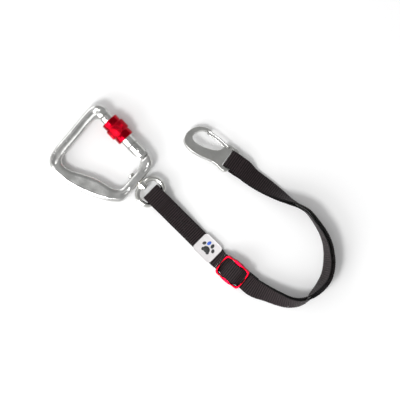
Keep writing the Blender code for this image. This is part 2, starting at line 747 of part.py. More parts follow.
def make_eye_loop(side_frame, height, material):
    """The lead's end: out along the top, round the eye's bail and back underneath as a sewn tab."""
    up = EYE_LOOP_HALF_HEIGHT + WEBBING_THICKNESS / 2
    front = EYE_LOOP_FRONT_X + WEBBING_THICKNESS / 2
    offset = layer_offset()
    shoulder = EYE_BAIL_X - 0.0052
    tail = EYE_BAIL_X + 0.0044
    points = [
        (SEWN_END_X, sewn_level(SEWN_END_X) - offset),
        (SEWN_START_X + 0.0120, sewn_level(SEWN_START_X + 0.0120) - offset),
        (SEWN_START_X, sewn_level(SEWN_START_X) - offset),
        (SEWN_START_X - 0.0055, sewn_level(SEWN_START_X - 0.0055) - offset - 0.0006),
        (tail, height - up + 0.0002), (shoulder, height - up), (front + 0.0016, height - 0.6 * up),
        (front, height), (front + 0.0016, height + 0.6 * up), (shoulder, height + up),
        (tail, height + up - 0.0010),
        (SEWN_START_X - 0.0050, sewn_level(SEWN_START_X - 0.0050) + offset + 0.0009),
        (SEWN_START_X, sewn_level(SEWN_START_X) + offset),
        (SEWN_START_X + 0.0120, sewn_level(SEWN_START_X + 0.0120) + offset),
        (LEAD_FLAT_X - 0.0020, sewn_level(LEAD_FLAT_X - 0.0020) + offset),
        (LEAD_FLAT_X + 0.0030, lead_level()), (LABEL_X - RUNNING_GAP / 2, lead_level()),
    ]
    return finish(band("loop", points, side_frame), "webbing_eye_loop", material)


def make_box_stitch(name, frame, level, material):
    """Four sides and two diagonals of stitching, as one net of thread lying on the webbing."""
    half_x = (SEWN_END_X - SEWN_START_X) / 2 - STITCH_INSET
    half_y = WEBBING_WIDTH / 2 - STITCH_INSET
    thread = STITCH_THREAD
    corners = [(-half_x, -half_y), (half_x, -half_y), (half_x, half_y), (-half_x, half_y)]
    routes = [(corners[i], corners[(i + 1) % 4]) for i in range(4)]
    routes += [(corners[0], corners[2]), (corners[1], corners[3])]
    net = None
    for start, end in routes:
        length = math.dist(start, end)
        angle = math.atan2(end[1] - start[1], end[0] - start[0])
        strand = block("strand", (length + thread, thread, thread))
        middle = ((start[0] + end[0]) / 2, (start[1] + end[1]) / 2, level)
        place(strand, frame, middle, (0, 0, angle))
        net = join(net, strand) if net else strand
    return finish(net, name, material)


def make_label(frame, material):
    """The soft sleeve that hides the join in the lead, with a raised border on its face."""
    height = WEBBING_THICKNESS + 2 * (RUNNING_GAP + LABEL_WALL)
    x = LABEL_LENGTH / 2
    y = LABEL_WIDTH / 2
    r = LABEL_CORNER
    quarter = math.pi / 2
    outline = []
    for number, (sx, sy) in enumerate(((1, 1), (-1, 1), (-1, -1), (1, -1))):
        centre = (sx * (x - r), sy * (y - r))
        outline += arc(centre, r, quarter * number, quarter * (number + 1), 6)
    label = poly_plate("label", outline, height, frame)
    bevel = label.modifiers.new("rounding", "BEVEL")
    bevel.width = LABEL_ROUNDING
    bevel.segments = 2
    bevel.limit_method = "ANGLE"
    bevel.angle_limit = math.radians(50)
    opening = (2 * LABEL_LENGTH, WEBBING_WIDTH + 2 * RUNNING_GAP, WEBBING_THICKNESS + 2 * RUNNING_GAP)
    cut(label, place(block("label_opening", opening), frame))
    return finish(label, "label_sleeve", material)


def make_slider(frame, material):
    """A tri-glide: two windows and a centre bar, standing deep enough to grip the webbing."""
    x = SLIDER_LENGTH / 2
    y = slider_half_width()
    corner = SLIDER_CORNER
    cut_corner = 0.3 * corner
    mid = SLIDER_BULGE_HALF
    side = [
        (x, y - corner), (x - cut_corner, y - cut_corner), (x - corner, y), (mid + 0.0030, y - 0.0001),
        (mid - 0.0010, y + SLIDER_BULGE),
    ]
    half = [(x, 0)] + side + [(0, y + SLIDER_BULGE)] + [(-px, py) for px, py in reversed(side)]
    outer = half + [(-px, -py) for px, py in half]
    inner_x = x - SLIDER_BAR
    inner_y = y - SLIDER_SIDE_BAR
    windows = []
    for side in (1, -1):
        near = SLIDER_CENTRE_BAR_WIDTH / 2
        windows.append([
            (side * near, inner_y - 0.0006), (side * (near + 0.0006), inner_y),
            (side * (inner_x - 0.0022), inner_y), (side * inner_x, inner_y - 0.0022),
            (side * inner_x, -inner_y + 0.0022), (side * (inner_x - 0.0022), -inner_y),
            (side * (near + 0.0006), -inner_y), (side * near, -inner_y + 0.0006),
        ])
    slider = plate("slider", [outer] + windows, SLIDER_HEIGHT, frame, SLIDER_ROUNDING, (), 2)
    spare = SLIDER_HEIGHT - SLIDER_CENTRE_BAR_HEIGHT
    size = (SLIDER_CENTRE_BAR_WIDTH + 0.004, 2 * inner_y + 0.0001, spare + 0.004)
    above = block("centre_bar_relief", size)
    cut(slider, place(above, frame, (0, 0, SLIDER_HEIGHT / 2 + 0.002 - spare / 2)))
    return finish(slider, "slider_frame", material)


def slider_half_width():
    return WEBBING_WIDTH / 2 + SLIDER_SIDE_GAP + SLIDER_SIDE_BAR


def slider_levels():
    """Middle heights, in the slider's frame, of each layer of webbing at the bars."""
    step = WEBBING_THICKNESS + LAYER_GAP
    bar = -SLIDER_HEIGHT / 2 + SLIDER_CENTRE_BAR_HEIGHT / 2
    clear = SLIDER_CENTRE_BAR_HEIGHT / 2 + RUNNING_GAP + PIN_GAP + WEBBING_THICKNESS / 2
    over = bar + clear
    under = bar - clear
    end = -SLIDER_HEIGHT / 2 - RUNNING_GAP - WEBBING_THICKNESS / 2
    return {"bar": bar, "over": over, "under": under, "wave": over + step + 0.0002, "end": end, "step": step}


def make_wave(side_frame, material):
    """The webbing that runs through the slider: under one end bar, over the middle, under the other."""
    level = slider_levels()
    end = level["end"]
    top = level["wave"]
    x = SLIDER_LENGTH / 2 - SLIDER_BAR
    near = SLIDER_CENTRE_BAR_WIDTH / 2 + 0.0010
    half = [(near, top - 0.0002), ((x + near) / 2, (end + top) / 2), (x - 0.0022, end + 0.0004)]
    half += [(x + SLIDER_BAR, end), (WAVE_REACH, end)]
    points = [(-px, py) for px, py in reversed(half)] + [(0, top)] + half
    return finish(band("wave", points, side_frame), "webbing_slider_run", material)


def make_end_loop(side_frame, material):
    """The webbing's sewn end: in from the hook, round the slider's centre bar, and back as a tab."""
    level = slider_levels()
    step = level["step"]
    end = level["end"] - step
    x = SLIDER_LENGTH / 2 - SLIDER_BAR
    near = SLIDER_CENTRE_BAR_WIDTH / 2
    left = -near - 2 * RUNNING_GAP - WEBBING_THICKNESS / 2
    points = [
        (WAVE_REACH, end), (x + SLIDER_BAR, end), (x - 0.0022, end + 0.0003),
        ((x + near) / 2 - 0.0006, (end + level["over"]) / 2), (near - 0.0006, level["over"]),
        (0, level["over"]), (-near - 0.0002, level["over"]), (left, level["bar"]),
        (-near - 0.0002, level["under"]),
        (near, level["under"]), (x - 0.0040, (end - step + level["under"]) / 2 - 0.0006),
        (x, end - step), (x + SLIDER_BAR, end - step), (TAB_LENGTH, end - step),
    ]
    return finish(band("end", points, side_frame), "webbing_sewn_end", material)


def place_of(frame, x, y, z=0.0):
    """A point of a frame, in the tether's frame."""
    bpy.context.view_layer.update()
    return frame.matrix_world @ Vector((x, y, z))


def smooth_stations(stations, spacing):
    """Stations about one spacing apart, on a smooth curve through the given ones."""
    rows = [Vector((*centre, roll, half)) for centre, roll, half in stations]
    last = len(rows) - 1
    spans = [(b[0] - a[0]).length for a, b in zip(stations, stations[1:])]
    slopes = []
    for i in range(last + 1):
        low = max(i - 1, 0)
        high = min(i + 1, last)
        slopes.append((rows[high] - rows[low]) / sum(spans[low:high]))
    dense = []
    for i, span in enumerate(spans):
        steps = max(1, round(span / spacing))
        for step in range(steps):
            t = step / steps
            row = rows[i] * (2 * t**3 - 3 * t**2 + 1) + rows[i + 1] * (3 * t**2 - 2 * t**3)
            row += slopes[i] * span * (t**3 - 2 * t**2 + t)
            row += slopes[i + 1] * span * (t**3 - t**2)
            dense.append(row)
    dense.append(rows[-1])
    return [(Vector(row[:3]), row[3], max(row[4], layer_offset())) for row in dense]


def make_strap(name, stations, offset, parent, material, spacing=0.0030):
    """Webbing along stations of (place, roll, half distance between layers). The offset picks the
    layer: +1 is the one on the side that the webbing's face leans to, -1 the other, 0 the middle."""
    stations = smooth_stations(stations, spacing)
    curve = bpy.data.curves.new(name, "CURVE")
    curve.dimensions = "3D"
    curve.twist_mode = "Z_UP"
    curve.extrude = WEBBING_WIDTH / 2
    spline = curve.splines.new("POLY")
    spline.points.add(len(stations) - 1)
    last = len(stations) - 1
    for index, knot in enumerate(spline.points):
        centre, roll, half = stations[index]
        ahead = stations[min(index + 1, last)][0]
        behind = stations[max(index - 1, 0)][0]
        travel = (ahead - behind).normalized()
        right = travel.cross(Vector((0, 0, 1))).normalized()
        normal = right.cross(travel) * math.cos(roll) + right * math.sin(roll)
        knot.co = (*(centre + normal * half * offset), 1)
        knot.tilt = roll - math.pi / 2
    obj = bpy.data.objects.new(name, curve)
    parts.objects.link(obj)
    place(obj, parent)
    return finish(thicken(as_mesh(obj), WEBBING_THICKNESS), name, material)


def strap_stations(slider_frame, hook_frame):
    """The double run's stations, leaving the slider and reaching the hook in their own directions."""
    level = slider_levels()
    middle = level["end"] - level["step"] / 2
    base = level["step"] / 2
    start = WAVE_REACH + 2 * RUNNING_GAP
    stations = [
        (place_of(slider_frame, start, 0, middle), SLIDER_ROLL, base),
        (place_of(slider_frame, TAB_LENGTH + 0.0010, 0, middle + 0.0001), SLIDER_ROLL, base),
    ]
    extra = (CURVE_LAYER_GAP - LAYER_GAP) / 2
    for x, y, degrees in STRAP_ROUTE:
        roll = math.radians(degrees)
        open_share = min(1.0, max(0.0, (degrees - 45) / 60))
        half = base + extra * open_share
        stack = half + WEBBING_THICKNESS / 2
        low = WEBBING_WIDTH / 2 * math.sin(roll) + stack * abs(math.cos(roll))
        stations.append((Vector((x, y, low + FLOOR_GAP)), roll, half))
    spread = HOOK_LOOP_HALF_HEIGHT + WEBBING_THICKNESS / 2
    end = HOOK_LOOP_REACH + RUNNING_GAP
    stations.append((place_of(hook_frame, end + 0.0060, 0), -HOOK_ROLL, 0.75 * spread))
    stations.append((place_of(hook_frame, end, 0), -HOOK_ROLL, spread))
    return stations


def make_lead(label_frame, slider_frame, material):
    """The single layer from the join hidden in the label to the slider."""
    half = LABEL_LENGTH / 2 + 0.0002
    end = slider_levels()["end"]
    reach = WAVE_REACH + RUNNING_GAP
    places = [
        (place_of(label_frame, RUNNING_GAP / 2, 0), 0), (place_of(label_frame, half, 0), 0),
        (place_of(label_frame, half + 0.0010, 0), 0),
        (place_of(slider_frame, -reach - 0.0010, 0, end), SLIDER_ROLL),
        (place_of(slider_frame, -reach, 0, end), SLIDER_ROLL),
    ]
    stations = [(at, roll, 0) for at, roll in places]
    return make_strap("webbing_lead", stations, 0, None, material, 0.0015)


def make_hook_loop(side_frame, material):
    """The turn of the webbing round the hook's end bar."""
    up = HOOK_LOOP_HALF_HEIGHT + WEBBING_THICKNESS / 2
    front = HOOK_END_X - HOOK_BAR_WIDTH - 0.00425
    points = [
        (HOOK_LOOP_REACH, -up), (0, -up), (front + 0.0018, -up + 0.0008), (front, -0.0012),
        (front, 0.0012), (front + 0.0018, up - 0.0008), (0, up), (HOOK_LOOP_REACH, up),
    ]
    return finish(band("hook_loop", points, side_frame), "webbing_hook_loop", material)


def make_hook_body(frame, material):
    """A flat hook: open nose, window, and a slotted end with the bar that the webbing turns round."""
    slot_half = WEBBING_WIDTH / 2 + HOOK_SLOT_GAP
    end = slot_half + HOOK_END_WALL
    outer = [
        (-0.0372, 0.0148), (-0.0420, 0.0146), (-0.0480, 0.0124), (-0.0530, 0.0078),
        (-0.0564, 0.0005), (-0.0568, -0.0070), (-0.0548, -0.0122), (-0.0498, -0.0156),
        (-0.0430, -0.0169), (-0.0340, -0.0166), (-0.0250, -0.0148), (-0.0180, -0.0133),
        (-0.0115, 0.0002 - end), (-0.0060, -end - 0.0009), (-0.0016, -end - 0.0006),
        (HOOK_END_X - 0.0008, 0.0026 - end), (HOOK_END_X, -0.0050), (HOOK_END_X, 0.0050),
        (HOOK_END_X - 0.0008, end - 0.0028), (-0.0022, end - 0.0002), (-0.0080, end),
        (-0.0135, end - 0.0006), (-0.0166, 0.0106),
    ]
    inner = [
        (-0.0168, 0.0072), (-0.0180, 0.0034), (-0.0208, 0.0003), (-0.0280, -0.0034),
        (-0.0355, -0.0057), (-0.0434, -0.0063), (-0.0482, -0.0050), (-0.0498, -0.0013),
        (-0.0490, 0.0036), (-0.0462, 0.0080), (-0.0425, 0.0104), (-0.0372, 0.0110),
    ]
    corners = (0, len(outer) + len(inner) - 1)
    body = plate("hook", [outer + inner], HOOK_THICKNESS, frame, HOOK_ROUNDING, corners, 3)
    bar_edge = HOOK_END_X - HOOK_BAR_WIDTH
    slot = block("webbing_slot", (HOOK_SLOT_LENGTH, 2 * slot_half, 0.02))
    rounding = slot.modifiers.new("ends", "BEVEL")
    rounding.width = HOOK_SLOT_ROUNDING
    rounding.segments = 2
    cut(body, place(slot, frame, (bar_edge - HOOK_SLOT_LENGTH / 2, 0, 0)))
    notch = HOOK_WIRE_RADIUS + RUNNING_GAP
    latch_x, latch_y = HOOK_LATCH
    outline = [(latch_x + notch, latch_y - 0.004)] + arc(HOOK_LATCH, notch, 0, math.pi, 8)
    outline.append((latch_x - notch, latch_y - 0.004))
    cut(body, poly_plate("latch_notch", outline, 0.02, frame))
    hole = cylinder("gate_hole", HOOK_WIRE_RADIUS + PIN_GAP, 0.02, 20)
    cut(body, place(hole, frame, (*HOOK_PIVOT, 0)))
    for face in (1, -1):
        dimple = cylinder(f"second_hole_{face}", HOOK_WIRE_RADIUS, 0.0016, 20)
        at = (HOOK_PIVOT[0] + 0.0040, HOOK_PIVOT[1] + 0.0005, face * HOOK_THICKNESS / 2)
        cut(body, place(dimple, frame, at))
    return finish(body, "hook_body", material)


def make_hook_gate(frame, material):
    """The wire gate: both ends turned into the pivot hole, the far end closed behind the nose."""
    level = HOOK_THICKNESS / 2 + RUNNING_GAP + HOOK_WIRE_RADIUS
    x0, y0 = HOOK_PIVOT
    x1, y1 = HOOK_LATCH
    turn = 0.0011
    upper = [
        (x0, y0, level - 0.0028), (x0, y0, level - turn), (x0 - 0.3 * turn, y0, level - 0.3 * turn),
        (x0 - turn, y0, level), ((x0 + x1) / 2, (y0 + y1) / 2 + 0.0008, level),
        (x1 + turn, y1, level), (x1 + 0.3 * turn, y1, level - 0.3 * turn), (x1, y1, level - turn),
    ]
    route = upper + [(x, y, -z) for x, y, z in reversed(upper)]
    gate = wire("gate", route, HOOK_WIRE_RADIUS, frame, smooth=False, sides=2)
    return finish(gate, "hook_gate_wire", material)


def make_bartack(frame, material):
    """The dense bar of stitching that holds the sewn end, on its lower face."""
    level = slider_levels()
    tab = level["end"] - 2 * level["step"]
    height = BARTACK_HEIGHT
    tack = block("tack", (BARTACK_LENGTH, WEBBING_WIDTH - 2 * BARTACK_INSET, height))
    low = tab - WEBBING_THICKNESS / 2 - STITCH_GAP - height / 2
    place(tack, frame, (SLIDER_LENGTH / 2 + 0.0035, 0, low))
    return finish(tack, "end_bartack", material)


def carabiner_rest():
    """Tilt about the swivel and height of its axis, from what the carabiner lies on: the sleeve's
    grip band on one side and the flat beam on the other."""
    band_x = SLEEVE_START + SLEEVE_LENGTH / 2
    sleeve_y = RIVET_Y + band_x * math.sin(GATE_SLOPE) - RIVET_OFFSET
    beam_y = BEAM_LOW_Y + BODY_ROUNDING
    rise = SLEEVE_BAND_RADIUS - BODY_THICKNESS / 2
    tilt = math.asin(rise / (sleeve_y - beam_y))
    height = SLEEVE_BAND_RADIUS - sleeve_y * math.sin(tilt) + FLOOR_GAP
    return tilt, height


def make_frames():
    """The empties: the tether, and each group that is placed or turned as one."""
    tilt, height = carabiner_rest()
    slider_turn = (SLIDER_ROLL, SLIDER_PITCH, SLIDER_YAW)
    upright = (math.pi / 2, 0, 0)
    tether = make_frame("tether", None)
    carabiner = make_frame("carabiner", tether, (0, 0, height), (tilt, 0, 0))
    gate = make_frame("gate_hinge", carabiner, (RIVET_X, RIVET_Y, 0), (0, 0, -GATE_SLOPE))
    eye = make_frame("eye", tether, (0, 0, height))
    lead = make_frame("lead", tether, (LEAD_START_X, LEAD_START_Y, 0), (0, 0, LEAD_YAW))
    lead_side = make_frame("lead_side", lead, (-LEAD_START_X, 0, 0), upright)
    label = make_frame("label", lead, (LABEL_X - LEAD_START_X, 0, lead_level()))
    slider = make_frame("slider", tether, (SLIDER_X, SLIDER_Y, SLIDER_Z), slider_turn)
    slider_side = make_frame("slider_side", slider, rotation=upright)
    hook = make_frame("hook", tether, (HOOK_X, HOOK_Y, HOOK_Z), (HOOK_ROLL, 0, HOOK_YAW))
    hook_side = make_frame("hook_side", hook, rotation=upright)
    return {
        "tether": tether, "carabiner": carabiner, "gate": gate, "eye": eye, "lead": lead,
        "lead_side": lead_side, "label": label, "slider": slider, "slider_side": slider_side,
        "hook": hook, "hook_side": hook_side, "height": height,
    }


def make_materials():
    return {
        "aluminium": make_material("polished aluminium", (0.62, 0.62, 0.61), 0.25, 1.0),
        "satin": make_material("satin aluminium", (0.42, 0.42, 0.41), 0.42, 1.0),
        "chrome": make_material("plated steel", (0.75, 0.75, 0.75), 0.15, 1.0),
        "steel": make_material("spring steel", (0.55, 0.55, 0.55), 0.3, 1.0),
        "red": make_material("red anodised aluminium", (0.70, 0.01, 0.03), 0.3, 1.0),
        "webbing": make_material("nylon webbing", (0.018, 0.013, 0.014), 0.85, 0.0),
        "thread": make_material("sewing thread", (0.02, 0.015, 0.016), 0.7, 0.0),
        "label": make_material("white soft rubber", (0.85, 0.83, 0.84), 0.55, 0.0),
        "nylon": make_material("white nylon", (0.7, 0.7, 0.68), 0.5, 0.0),
        "rubber": make_material("black rubber", (0.02, 0.02, 0.02), 0.6, 0.0),
    }


def make_carabiner(frames, mats):
    frame = frames["carabiner"]
    gate = frames["gate"]
    make_carabiner_body(frame, gate, mats["aluminium"])
    make_gate_barrel(gate, mats["aluminium"])
    make_gate_rivet(gate, mats["steel"])
    make_latch_pin(gate, mats["steel"])
    make_plunger(gate, mats["steel"])
    make_spring(gate, mats["steel"])
    make_stop_ring(gate, mats["steel"])
    make_lock_sleeve(gate, mats["red"])
    make_o_ring(gate, mats["rubber"])


def make_webbing(frames, mats):
    cloth = mats["webbing"]
    make_eye_loop(frames["lead_side"], frames["height"], cloth)
    stitch_middle = (SEWN_START_X + SEWN_END_X) / 2
    spot = (stitch_middle - LEAD_START_X, 0, sewn_level(stitch_middle))
    seam = make_frame("seam", frames["lead"], spot, (0, sewn_angle(), 0))
    level = layer_offset() + (WEBBING_THICKNESS + STITCH_THREAD) / 2 + STITCH_GAP
    make_box_stitch("box_stitch_top", seam, level, mats["thread"])
    make_box_stitch("box_stitch_bottom", seam, -level, mats["thread"])
    make_lead(frames["label"], frames["slider"], cloth)
    make_wave(frames["slider_side"], cloth)
    make_end_loop(frames["slider_side"], cloth)
    make_bartack(frames["slider"], mats["thread"])
    stations = strap_stations(frames["slider"], frames["hook"])
    make_strap("webbing_upper_run", stations, 1, None, cloth)
    make_strap("webbing_lower_run", stations, -1, None, cloth)
    make_hook_loop(frames["hook_side"], cloth)


def centre_on_floor(tether):
    """Moves the whole tether so that the world origin is the middle of its base."""
    bpy.context.view_layer.update()
    graph = bpy.context.evaluated_depsgraph_get()
    low = Vector((math.inf,) * 3)
    high = Vector((-math.inf,) * 3)
    for obj in parts.objects:
        if obj.type != "MESH":
            continue
        solid = obj.evaluated_get(graph)
        for vertex in solid.to_mesh().vertices:
            at = solid.matrix_world @ vertex.co
            low = Vector(map(min, low, at))
            high = Vector(map(max, high, at))
        solid.to_mesh_clear()
    shift = Vector((-(low.x + high.x) / 2, -(low.y + high.y) / 2, -low.z))
    tether.location = shift
    return shift


def main():
    global parts, cutters
    clear_scene()
    parts = new_collection("adjustable_dog_tether")
    cutters = new_collection("cutters", helper=True)
    frames = make_frames()
    mats = make_materials()
    make_carabiner(frames, mats)
    make_swivel(frames["eye"], mats["chrome"], mats["nylon"])
    make_eye(frames["eye"], mats["chrome"])
    make_webbing(frames, mats)
    make_label(frames["label"], mats["label"])
    make_slider(frames["slider"], mats["red"])
    make_hook_body(frames["hook"], mats["satin"])
    make_hook_gate(frames["hook"], mats["steel"])
    for obj in parts.objects:
        if obj.type == "MESH" and obj.parent is None:
            obj.parent = frames["tether"]
    centre_on_floor(frames["tether"])


main()
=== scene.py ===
import json
import math

import bpy
import numpy as np
from mathutils import Matrix, Vector


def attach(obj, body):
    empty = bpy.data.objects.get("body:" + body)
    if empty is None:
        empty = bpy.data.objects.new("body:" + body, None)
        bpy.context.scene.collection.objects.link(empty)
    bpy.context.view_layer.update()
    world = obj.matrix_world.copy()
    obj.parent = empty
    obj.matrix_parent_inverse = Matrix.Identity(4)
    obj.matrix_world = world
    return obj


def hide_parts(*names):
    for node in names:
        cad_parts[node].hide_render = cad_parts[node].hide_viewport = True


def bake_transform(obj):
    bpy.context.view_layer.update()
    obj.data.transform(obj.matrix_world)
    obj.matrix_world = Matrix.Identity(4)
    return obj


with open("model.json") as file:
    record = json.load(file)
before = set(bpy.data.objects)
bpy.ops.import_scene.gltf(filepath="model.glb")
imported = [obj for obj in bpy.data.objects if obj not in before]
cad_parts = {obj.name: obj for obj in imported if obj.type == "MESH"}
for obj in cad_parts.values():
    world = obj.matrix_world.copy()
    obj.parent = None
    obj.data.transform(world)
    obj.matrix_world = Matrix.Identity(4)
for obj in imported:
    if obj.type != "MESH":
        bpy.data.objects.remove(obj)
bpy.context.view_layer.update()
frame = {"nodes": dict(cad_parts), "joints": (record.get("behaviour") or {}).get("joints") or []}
nodes = frame["nodes"]
joints = {joint["name"]: joint for joint in frame["joints"]}
mm = 0.001
weldWithin = 0.000002
print("stage: frame loaded,", len(nodes), "nodes")


# small tools
def deselectAll():
    if bpy.context.object and bpy.context.object.mode != "OBJECT":
        bpy.ops.object.mode_set(mode="OBJECT")
    bpy.ops.object.select_all(action="DESELECT")


def makeActive(piece):
    deselectAll()
    piece.select_set(True)
    bpy.context.view_layer.objects.active = piece
    return piece


def pickVertices(piece, test):
    # leaves the piece in edit mode with just those vertices selected
    makeActive(piece)
    bpy.ops.object.mode_set(mode="EDIT")
    bpy.ops.mesh.select_mode(type="VERT")
    bpy.ops.mesh.select_all(action="DESELECT")
    bpy.ops.object.mode_set(mode="OBJECT")
    for vertex in piece.data.vertices:
        vertex.select = bool(test(vertex.co))
    bpy.ops.object.mode_set(mode="EDIT")


def pickEdges(piece, test):
    makeActive(piece)
    bpy.ops.object.mode_set(mode="EDIT")
    bpy.ops.mesh.select_mode(type="EDGE")
    bpy.ops.mesh.select_all(action="DESELECT")
    bpy.ops.object.mode_set(mode="OBJECT")
    corners = piece.data.vertices
    for edge in piece.data.edges:
        a, b = (corners[i].co for i in edge.vertices)
        edge.select = bool(test(a, b))
    bpy.ops.object.mode_set(mode="EDIT")


def pickFaces(piece, test):
    makeActive(piece)
    bpy.ops.object.mode_set(mode="EDIT")
    bpy.ops.mesh.select_mode(type="FACE")
    bpy.ops.mesh.select_all(action="DESELECT")
    bpy.ops.object.mode_set(mode="OBJECT")
    for face in piece.data.polygons:
        face.select = bool(test(face.center, face.normal))
    bpy.ops.object.mode_set(mode="EDIT")


def leaveEdit():
    bpy.ops.object.mode_set(mode="OBJECT")


def applyAll(piece):
    makeActive(piece)
    for modifier in list(piece.modifiers):
        bpy.ops.object.modifier_apply(modifier=modifier.name)
    return piece


def addModifier(piece, kind, **settings):
    modifier = piece.modifiers.new(kind.lower(), kind)
    for key, value in settings.items():
        setattr(modifier, key, value)
    return modifier


def placeBy(piece, matrix):
    # the place goes into the mesh, so the object itself stays at the origin
    piece.matrix_world = Matrix.Identity(4)
    piece.data.transform(matrix)
    piece.data.update()
    return piece


def frameAt(origin, xAxis, zHint):
    x = Vector(xAxis).normalized()
    y = Vector(zHint).cross(x).normalized()
    z = x.cross(y)
    matrix = Matrix((x, y, z)).transposed().to_4x4()
    matrix.translation = Vector(origin)
    return matrix


def dress(piece, material, body, slotName, *replaced):
    piece.data.materials.clear()
    piece.data.materials.append(material)
    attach(piece, body)
    if replaced:
        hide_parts(*replaced)
    return piece


# materials
def hexColour(text):
    # sRGB hex to linear
    parts = [int(text[i:i + 2], 16) / 255 for i in (1, 3, 5)]
    return tuple(c / 12.92 if c <= 0.04045 else ((c + 0.055) / 1.055) ** 2.4 for c in parts) + (1.0,)


def addNode(tree, kind, settings=None, links=None):
    node = tree.nodes.new(kind)
    for key, value in (settings or {}).items():
        if key in node.inputs:
            node.inputs[key].default_value = value
        else:
            setattr(node, key, value)
    for key, source in (links or {}).items():
        tree.links.new(source, node.inputs[key])
    return node


def newMaterial(name, shaderSettings):
    material = bpy.data.materials.new(name)
    material.use_nodes = True
    tree = material.node_tree
    shader = tree.nodes["Principled BSDF"]
    for key, value in shaderSettings.items():
        shader.inputs[key].default_value = value
    return material, tree, shader


def rampBetween(tree, factor, low, high, start=0.35, end=0.65):
    node = addNode(tree, "ShaderNodeValToRGB", links={"Fac": factor})
    ends = node.color_ramp.elements
    ends[0].position, ends[1].position = start, end
    ends[0].color, ends[1].color = low, high
    return node.outputs["Color"]


def metalFinish(name, look):
    # a metal seen as its polish: grain in bump, hazy patches in roughness, and convex edges painted brighter as
    # a painted highlight
    material, tree, shader = newMaterial(name, {"Metallic": 1.0})
    place = addNode(tree, "ShaderNodeTexCoord").outputs["Object"]
    grain = addNode(tree, "ShaderNodeTexNoise", {"Scale": 1 / (look["grain"] * mm), "Detail": 3.0},
                    {"Vector": place})
    haze = addNode(tree, "ShaderNodeTexNoise", {"Scale": 1 / (look["haze"] * mm), "Detail": 4.0},
                   {"Vector": place})
    rough = addNode(tree, "ShaderNodeMapRange", {"From Min": 0.3, "From Max": 0.7, "To Min": look["rough"][0],
                    "To Max": look["rough"][1]}, {"Value": haze.outputs["Fac"]})
    tree.links.new(rough.outputs["Result"], shader.inputs["Roughness"])
    body = rampBetween(tree, haze.outputs["Fac"], hexColour(look["dark"]), hexColour(look["colour"]))
    # convex edges take the brighter edge colour: a painted highlight on the rims
    edge = addNode(tree, "ShaderNodeNewGeometry").outputs["Pointiness"]
    paintedHighlightMask = rampBetween(tree, edge, (0, 0, 0, 1), (1, 1, 1, 1), 0.52, 0.60)
    mix = addNode(tree, "ShaderNodeMix", {"data_type": "RGBA"})
    tree.links.new(paintedHighlightMask, mix.inputs["Factor"])
    tree.links.new(body, mix.inputs[6])
    mix.inputs[7].default_value = hexColour(look["edge"])
    tree.links.new(mix.outputs[2], shader.inputs["Base Color"])
    bump = addNode(tree, "ShaderNodeBump", {"Strength": look["bump"], "Distance": look["depth"] * mm},
                   {"Height": grain.outputs["Fac"]})
    tree.links.new(bump.outputs["Normal"], shader.inputs["Normal"])
    return material


# tumbled and polished cast aluminium: soft mirror with a faint orange-peel grain
polishedAluminium = metalFinish("polishedCastAluminium", {
    "colour": "#cfcfcd", "dark": "#bdbdbb", "edge": "#f0f0ee",
    "rough": (0.17, 0.26), "grain": 1.1, "haze": 14, "bump": 0.05, "depth": 0.03,
})
# bead-blasted satin aluminium: even grey with a fine 0.3 mm sparkle
satinAluminium = metalFinish("beadBlastedAluminium", {
    "colour": "#cacac7", "dark": "#bdbdba", "edge": "#ececea",
    "rough": (0.30, 0.38), "grain": 0.3, "haze": 9, "bump": 0.12, "depth": 0.02,
})
# nickel-plated zinc casting: bright and a little wavy
nickelPlate = metalFinish("nickelPlatedZinc", {
    "colour": "#d8d8d4", "dark": "#c6c6c2", "edge": "#f4f4f0",
    "rough": (0.10, 0.18), "grain": 2.0, "haze": 10, "bump": 0.06, "depth": 0.04,
})
# drawn stainless wire and pins
drawnStainless = metalFinish("drawnStainlessSteel", {
    "colour": "#c2c2c0", "dark": "#aaaaa8", "edge": "#e6e6e4",
    "rough": (0.20, 0.30), "grain": 0.4, "haze": 5, "bump": 0.05, "depth": 0.01,
})
# red anodised aluminium: metallic dye under a hard clear oxide, with convex edges painted paler as a painted
# highlight
redAnodised = metalFinish("redAnodisedAluminium", {
    "colour": "#b8061e", "dark": "#9a0416", "edge": "#d8283c",
    "rough": (0.20, 0.28), "grain": 0.5, "haze": 7, "bump": 0.06, "depth": 0.015,
})


